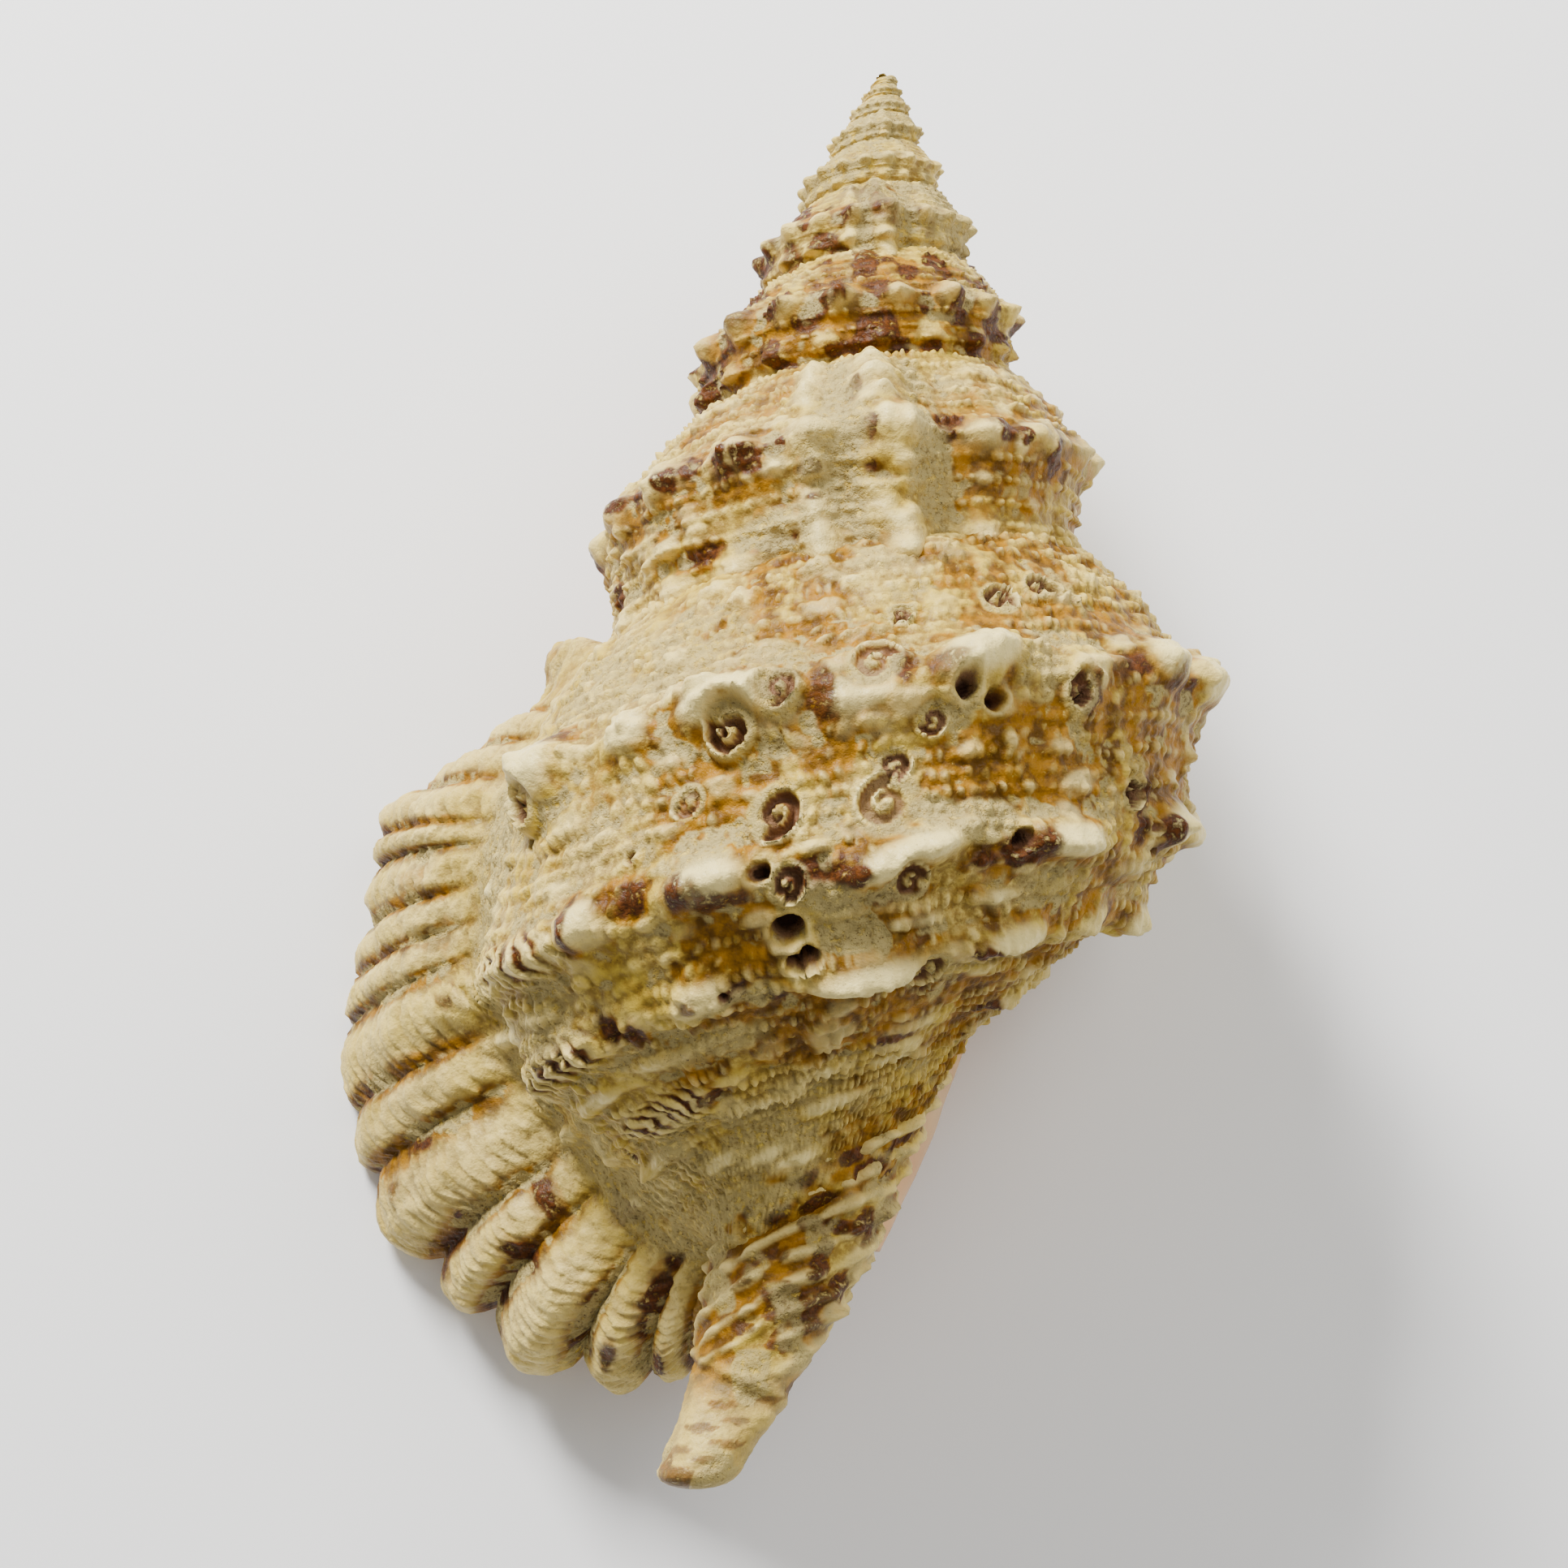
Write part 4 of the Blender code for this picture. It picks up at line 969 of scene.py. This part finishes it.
def lipAndLining():
    thick = lip["wall"] + (lip["thick"] - lip["wall"]) * smooth(G, 90.0, 110.0)
    thick = thick * smooth(T, *lining["seatFade"]) * (1.0 - smooth(T, *lining["canalFade"]))
    inner = bare - (thick + lining["sinkMore"] * sink)[..., None] * bareNormals - retreat[..., None] * ahead
    tooth = lining["toothRise"] * ribShape * smooth(G, lining["toothFrom"], lip["edge"]) * smooth(T, 8, 16)
    inner -= (tooth * smooth(thick, 1.0, 4.0))[..., None] * bareNormals
    top, bottom = skin[-1], inner[-1]
    middle, half = (top + bottom) / 2, (top - bottom) / 2
    reach = np.linalg.norm(half, axis=-1, keepdims=True)
    turns = np.linspace(0.0, np.pi, lining["rollSteps"] + 1)[:, None, None]
    roll = middle + np.cos(turns) * half + np.sin(turns) * reach * ahead[-1]
    outside = slice(valleyRow, len(gAll))
    points = np.concatenate([skin[outside], roll[1:]], axis=0)
    count = lining["rollSteps"]
    masks = {}
    for label, values in field.items():
        if label != "height":
            edge = np.repeat(values[-1:], count, axis=0)
            if label == "glaze":
                edge = smooth(np.linspace(0, 1, count), 0.45, 0.8)[:, None] + 0 * edge
            masks[label] = np.concatenate([values[outside], edge], axis=0)
    normals = gridNormals(points)
    normals[0] = skinNormals[valleyRow]
    meshFromGrid("outer_lip", points, normals, masks, shellLook)
    deepRow = cut(gAll, lining["deep"])
    rows = np.concatenate([np.arange(deepRow, valleyRow, 4), np.arange(valleyRow, len(gAll))])
    grid = inner[rows][:, ::2]
    meshFromGrid("aperture_lining", grid, -gridNormals(grid), {}, glazeLook, flip=True)


lipAndLining()


# Neck and siphonal canal
canal = {
    "groove": (3.0, 150.0, 0.62),  # width, where it starts down the axis, depth in radii
    "around": 224, "step": 0.42, "cordPitch": 4.4, "cordRise": 1.15,
    "knobs": [(166, -62), (173, -70), (181, -66), (188, -60), (195, -55)],  # way down, angle
    "endPulls": [(0.93, 0.7), (0.8, 1.3), (0.58, 1.8), (0.3, 2.1), (0.02, 2.2)],  # share of the ring, mm on
}
# way down the axis, angle, reach round and along in mm, strength
canalSpots = [
    (170, -30, 4.5, 1.2, 1), (169, -54, 3, 1.4, 1), (174, -26, 1.6, 2.4, 1), (178, -56, 2, 2, 1),
    (179, -4, 2.2, 1.3, 0.9), (180, -18, 2, 1.4, 0.9), (177, 28, 1.2, 1.2, 0.8), (184, 20, 1.4, 1, 0.7),
    (178, 36, 1.2, 1, 0.6), (176, -28, 1.6, 2.2, 1), (170, -6, 2, 1, 0.9), (180, -40, 1.6, 2, 0.9),
    (182, -16, 1.8, 1, 0.8), (183, -42, 2, 1.4, 0.9), (186, -22, 2.2, 1, 0.9), (174, 8, 1.8, 1, 0.8),
    (194, 14, 2.4, 0.6, 0.6), (197, 22, 2.2, 0.6, 0.6), (199, -20, 2.4, 0.6, 0.6), (200, 36, 2, 0.6, 0.5),
    (201, -2, 2.2, 0.6, 0.6), (196, -14, 2.4, 0.5, 0.5), (193, -34, 2.2, 0.6, 0.6),
    (202, 64, 1.2, 1.2, 0.7), (203, 30, 2.2, 0.7, 0.7), (165, 80, 2, 1.5, 0.7), (172, 110, 2, 1.6, 0.8),
    (186, -90, 2, 1.6, 0.8), (176, -110, 2.4, 1.8, 0.8), (192, -70, 1.8, 1.2, 0.7),
    (191, -12, 2.6, 0.7, 0.7),
]


def neckAndCanal():
    path = np.array(canalPath, float)
    down = np.arange(path[0, 0], path[-1, 0] + 0.01, canal["step"])
    _, x, z, radius = (weights(path[:, 0], down) @ path).T
    angle = np.linspace(-180.0, 180.0, canal["around"], endpoint=False)
    wide, start, depth = canal["groove"]
    away = np.degrees(np.arctan2(np.sin(np.radians(angle - 180)), np.cos(np.radians(angle - 180))))
    away = np.radians(away)[None, :] * radius[:, None]
    groove = depth * radius[:, None] * lump(away / wide * 1.2) * smooth(down, start, start + 18.0)[:, None]
    centre = np.stack([x, 0 * x, z], -1)[:, None, :]
    plain = turned(angle[None, :] + 0 * down[:, None], radius[:, None] - groove, down[:, None]) + centre
    outward = unit(plain - (centre - np.array([0, 1, 0]) * down[:, None, None]))
    W, A = down[:, None], angle[None, :]
    R = radius[:, None]
    back = 1.0 - smooth(np.abs(A), 120.0, 150.0)
    height = 1.1 * (noise(plain, 5.0, 71) - 0.5) + 0.5 * (noise(plain, 2.2, 72) - 0.5)
    cord = (W - 0.1 * A + 2.0 * noise(plain, 8.0, 79)) / canal["cordPitch"]
    upper = (1.0 - smooth(W, 180.0, 192.0)) * back
    ridge = (0.5 + 0.5 * np.cos(2 * np.pi * cord)) ** 1.5
    height += canal["cordRise"] * ridge * upper * (0.45 + 1.1 * smooth(noise(plain, 2.4, 80), 0.3, 0.7))
    height += 0.35 * lump((W + 0.04 * A - 190.5) / 0.7) - 0.5 * lump((W + 0.04 * A - 192.0) / 0.8)
    for w, a in canal["knobs"]:
        height += 1.3 * np.exp(-((W - w) / 2.6) ** 2 - (np.radians(A - a) * R / 3.0) ** 2)
    layer = (W + 0.6 * np.cos(np.radians(A))) / 1.3 + 1.5 * noise(plain, 6.0, 73)
    height += 0.12 * (1.0 - (layer - np.floor(layer)))
    height *= back * 0.9 + 0.1
    points = plain + (height * smooth(W, 140.0, 150.0))[..., None] * outward
    ragged = 0.5 * noise(plain, 2.0, 74) + 0.5 * noise(plain, 0.8, 75)
    brown = np.zeros(height.shape)
    for w, a, along, across, strength in canalSpots:
        turn = (A - a + 180.0) % 360.0 - 180.0
        far = np.sqrt((np.radians(turn) * R / along) ** 2 + ((W - w) / across) ** 2) + 1.5 * (ragged - 0.5)
        brown = np.maximum(brown, strength * (1.0 - smooth(far, 0.8, 1.4)))
    # local height over the surroundings, which the material turns into painted shade in the grooves and
    # lighter tops
    low = height - blurred(height, 6)
    tip = smooth(W, 186.0, 196.0)
    streak = smooth(noise(sheet(cord * 1.9, A / 16.0), 1.0, 82), 0.55, 0.7)
    streak = streak * (1.0 - ridge) * upper
    brown = np.maximum(0.75 * brown, 0.6 * streak)
    ochre = smooth(noise(plain, 6.0, 76), 0.4, 0.6)
    masks = {
        "high": np.clip(0.5 + low / 1.4, 0, 1),
        "ochre": np.maximum(ochre * (1.0 - 0.7 * tip), smooth(brown, 0.1, 0.6)) * back,
        "brown": brown * back,
        "crust": smooth(noise(plain, 4.0, 77) + 0.4 * noise(plain, 1.5, 78), 0.66, 0.9) * 0.7,
        "white": 0.25 * tip + 0.5 * smooth(height, 0.4, 1.2) * (1 - tip),
        "pit": np.zeros(height.shape),
        "glaze": smooth(groove, 0.8, 3.0) + 0 * height,
    }
    end = points[-1].mean(axis=0)
    onward = np.array([-0.4, -1.0, 0.35])
    caps = [end + (points[-1] - end) * pull + onward * go for pull, go in canal["endPulls"]]
    points = np.concatenate([points, caps], axis=0)
    masks = {k: np.concatenate([v, np.repeat(v[-1:], len(caps), axis=0)], axis=0) for k, v in masks.items()}
    meshFromGrid("neck_and_canal", points, None, masks, shellLook, wrap=True, flip=True)


neckAndCanal()

# Callus shield of the inner lip: aperture side, crest, free margin and root in the pillar, X W Z
shieldLines = {
    "inner": [
        (-16, 78, -28), (-17, 100, -32), (-11, 118, -24), (-8, 138, -17), (-7, 156, -13), (-9, 172, -8),
    ],
    "crest": [(0, 78, -34), (3, 100, -41), (7, 118, -40), (9, 138, -40), (5, 156, -31), (-2, 172, -14)],
    "margin": [
        (13, 82, -32), (23, 102, -34), (24, 120, -34), (18, 138, -35), (12, 156, -26), (5, 172, -11),
    ],
    "root": [(6, 84, -14), (10, 102, -14), (10, 120, -8), (7, 138, -6), (3, 156, -4), (-3, 172, -2)],
    "rim": 4.0, "foldStep": 5.5, "fold": 0.5,
}


def calloused():
    names = ("inner", "crest", "margin", "root")
    inner, crest, margin, root = (np.array(shieldLines[name], float) * (1, -1, 1) for name in names)
    toRoot = root - margin
    under = margin + shieldLines["rim"] * unit(toRoot) + (0, 0, 2.0)
    stations = np.array([root * 0.5 + inner * 0.5, inner, crest, margin, under, root])
    run, way = np.linspace(0, 5, 150), np.linspace(0, 4.3, 90)
    lengthwise = weights(np.arange(6), run)
    across = weights([0, 1, 2, 3, 3.35, 4.3], way)
    rings = np.einsum("bl,lkn->kbn", across, stations)
    points = np.einsum("ak,kbn->abn", lengthwise, rings)
    run, way = run[:, None], way[None, :]
    folds = shieldLines["fold"] * np.sin(2 * np.pi * run * 20 / shieldLines["foldStep"] + 1.5 * way)
    folds = folds * lump((way - 1.4) / 0.6) * smooth(run, 0.3, 1.0) * (1 - smooth(run, 4.2, 4.8))
    points = points + (folds + 0.5 * (noise(points, 7.0, 81) - 0.5))[..., None] * gridNormals(points)
    first, last = (end.mean(axis=1, keepdims=True) + 0 * end for end in (points[:1], points[-1:]))
    points = np.concatenate([first, points, last], axis=0)
    meshFromGrid("inner_lip_callus", points, None, {}, glazeLook, wrap=True, flip=True)


calloused()
print("pieces made")

# Floor, light and camera
stage = {
    "floorSize": 2.4, "floorColour": "#fbfaf8", "worldStrength": 0.42, "lightTarget": (0.0, 0.0, 0.04),
    "lights": [  # name, place and size in m, watts
        ("key light", (-0.38, 0.72, 0.58), 0.32, 27.0), ("fill light", (0.5, 0.35, 0.75), 0.5, 5.0),
    ],
}
# Where the camera stands from the shell, fitted to the photo: turns in degrees, lengths in mm
view = {
    "swing": -2.5317, "tilt": -11.3156, "move": (15.7765, 105.7536, -17.6592), "distance": 450.0,
    "focal": 36.0 * 3933.0 / 1932.0,
}


def layStage():
    half = stage["floorSize"] / 2
    mesh = bpy.data.meshes.new("floor")
    corners = [(-half, -half, 0), (half, -half, 0), (half, half, 0), (-half, half, 0)]
    mesh.from_pydata(corners, [], [(0, 1, 2, 3)])
    floor = bpy.data.objects.new("floor", mesh)
    bpy.context.scene.collection.objects.link(floor)
    material, tree, shader = emptyMaterial("matt white paper")
    shader.inputs["Base Color"].default_value = linear(stage["floorColour"])
    shader.inputs["Roughness"].default_value = 0.9
    mesh.materials.append(material)
    world = bpy.data.worlds.new("studio")
    world.use_nodes = True
    background = world.node_tree.nodes["Background"]
    background.inputs["Color"].default_value = linear("#ffffff")
    background.inputs["Strength"].default_value = stage["worldStrength"]
    bpy.context.scene.world = world


def softbox(name, place, size, watts):
    light = bpy.data.lights.new(name, "AREA")
    light.shape, light.size, light.energy = "SQUARE", size, watts
    lamp = bpy.data.objects.new(name, light)
    bpy.context.scene.collection.objects.link(lamp)
    back = unit(np.array(place) - np.array(stage["lightTarget"]))
    side = unit(np.cross((0, 1, 0), back))
    frameMatrix = np.eye(4)
    frameMatrix[:3, 0], frameMatrix[:3, 1], frameMatrix[:3, 2] = side, np.cross(back, side), back
    frameMatrix[:3, 3] = place
    lamp.matrix_world = Matrix(frameMatrix.tolist())


def placeCamera():
    swing = Matrix.Rotation(math.radians(view["swing"]), 3, "Z")
    turn = np.array(swing @ Matrix.Rotation(math.radians(view["tilt"]), 3, "X"))
    eye = turn.T @ (np.array([0, 0, view["distance"]]) - np.array(view["move"]))
    pose = np.eye(4)
    pose[:3, :3] = turn.T
    pose[:3, 3] = eye * mm
    camera = bpy.data.objects.new("camera", bpy.data.cameras.new("camera"))
    camera.data.sensor_width = 36.0
    camera.data.lens = view["focal"]
    camera.matrix_world = restMatrix @ Matrix(pose.tolist())
    bpy.context.scene.collection.objects.link(camera)
    bpy.context.scene.camera = camera


layStage()
for settings in stage["lights"]:
    softbox(*settings)
placeCamera()
print("stage set")
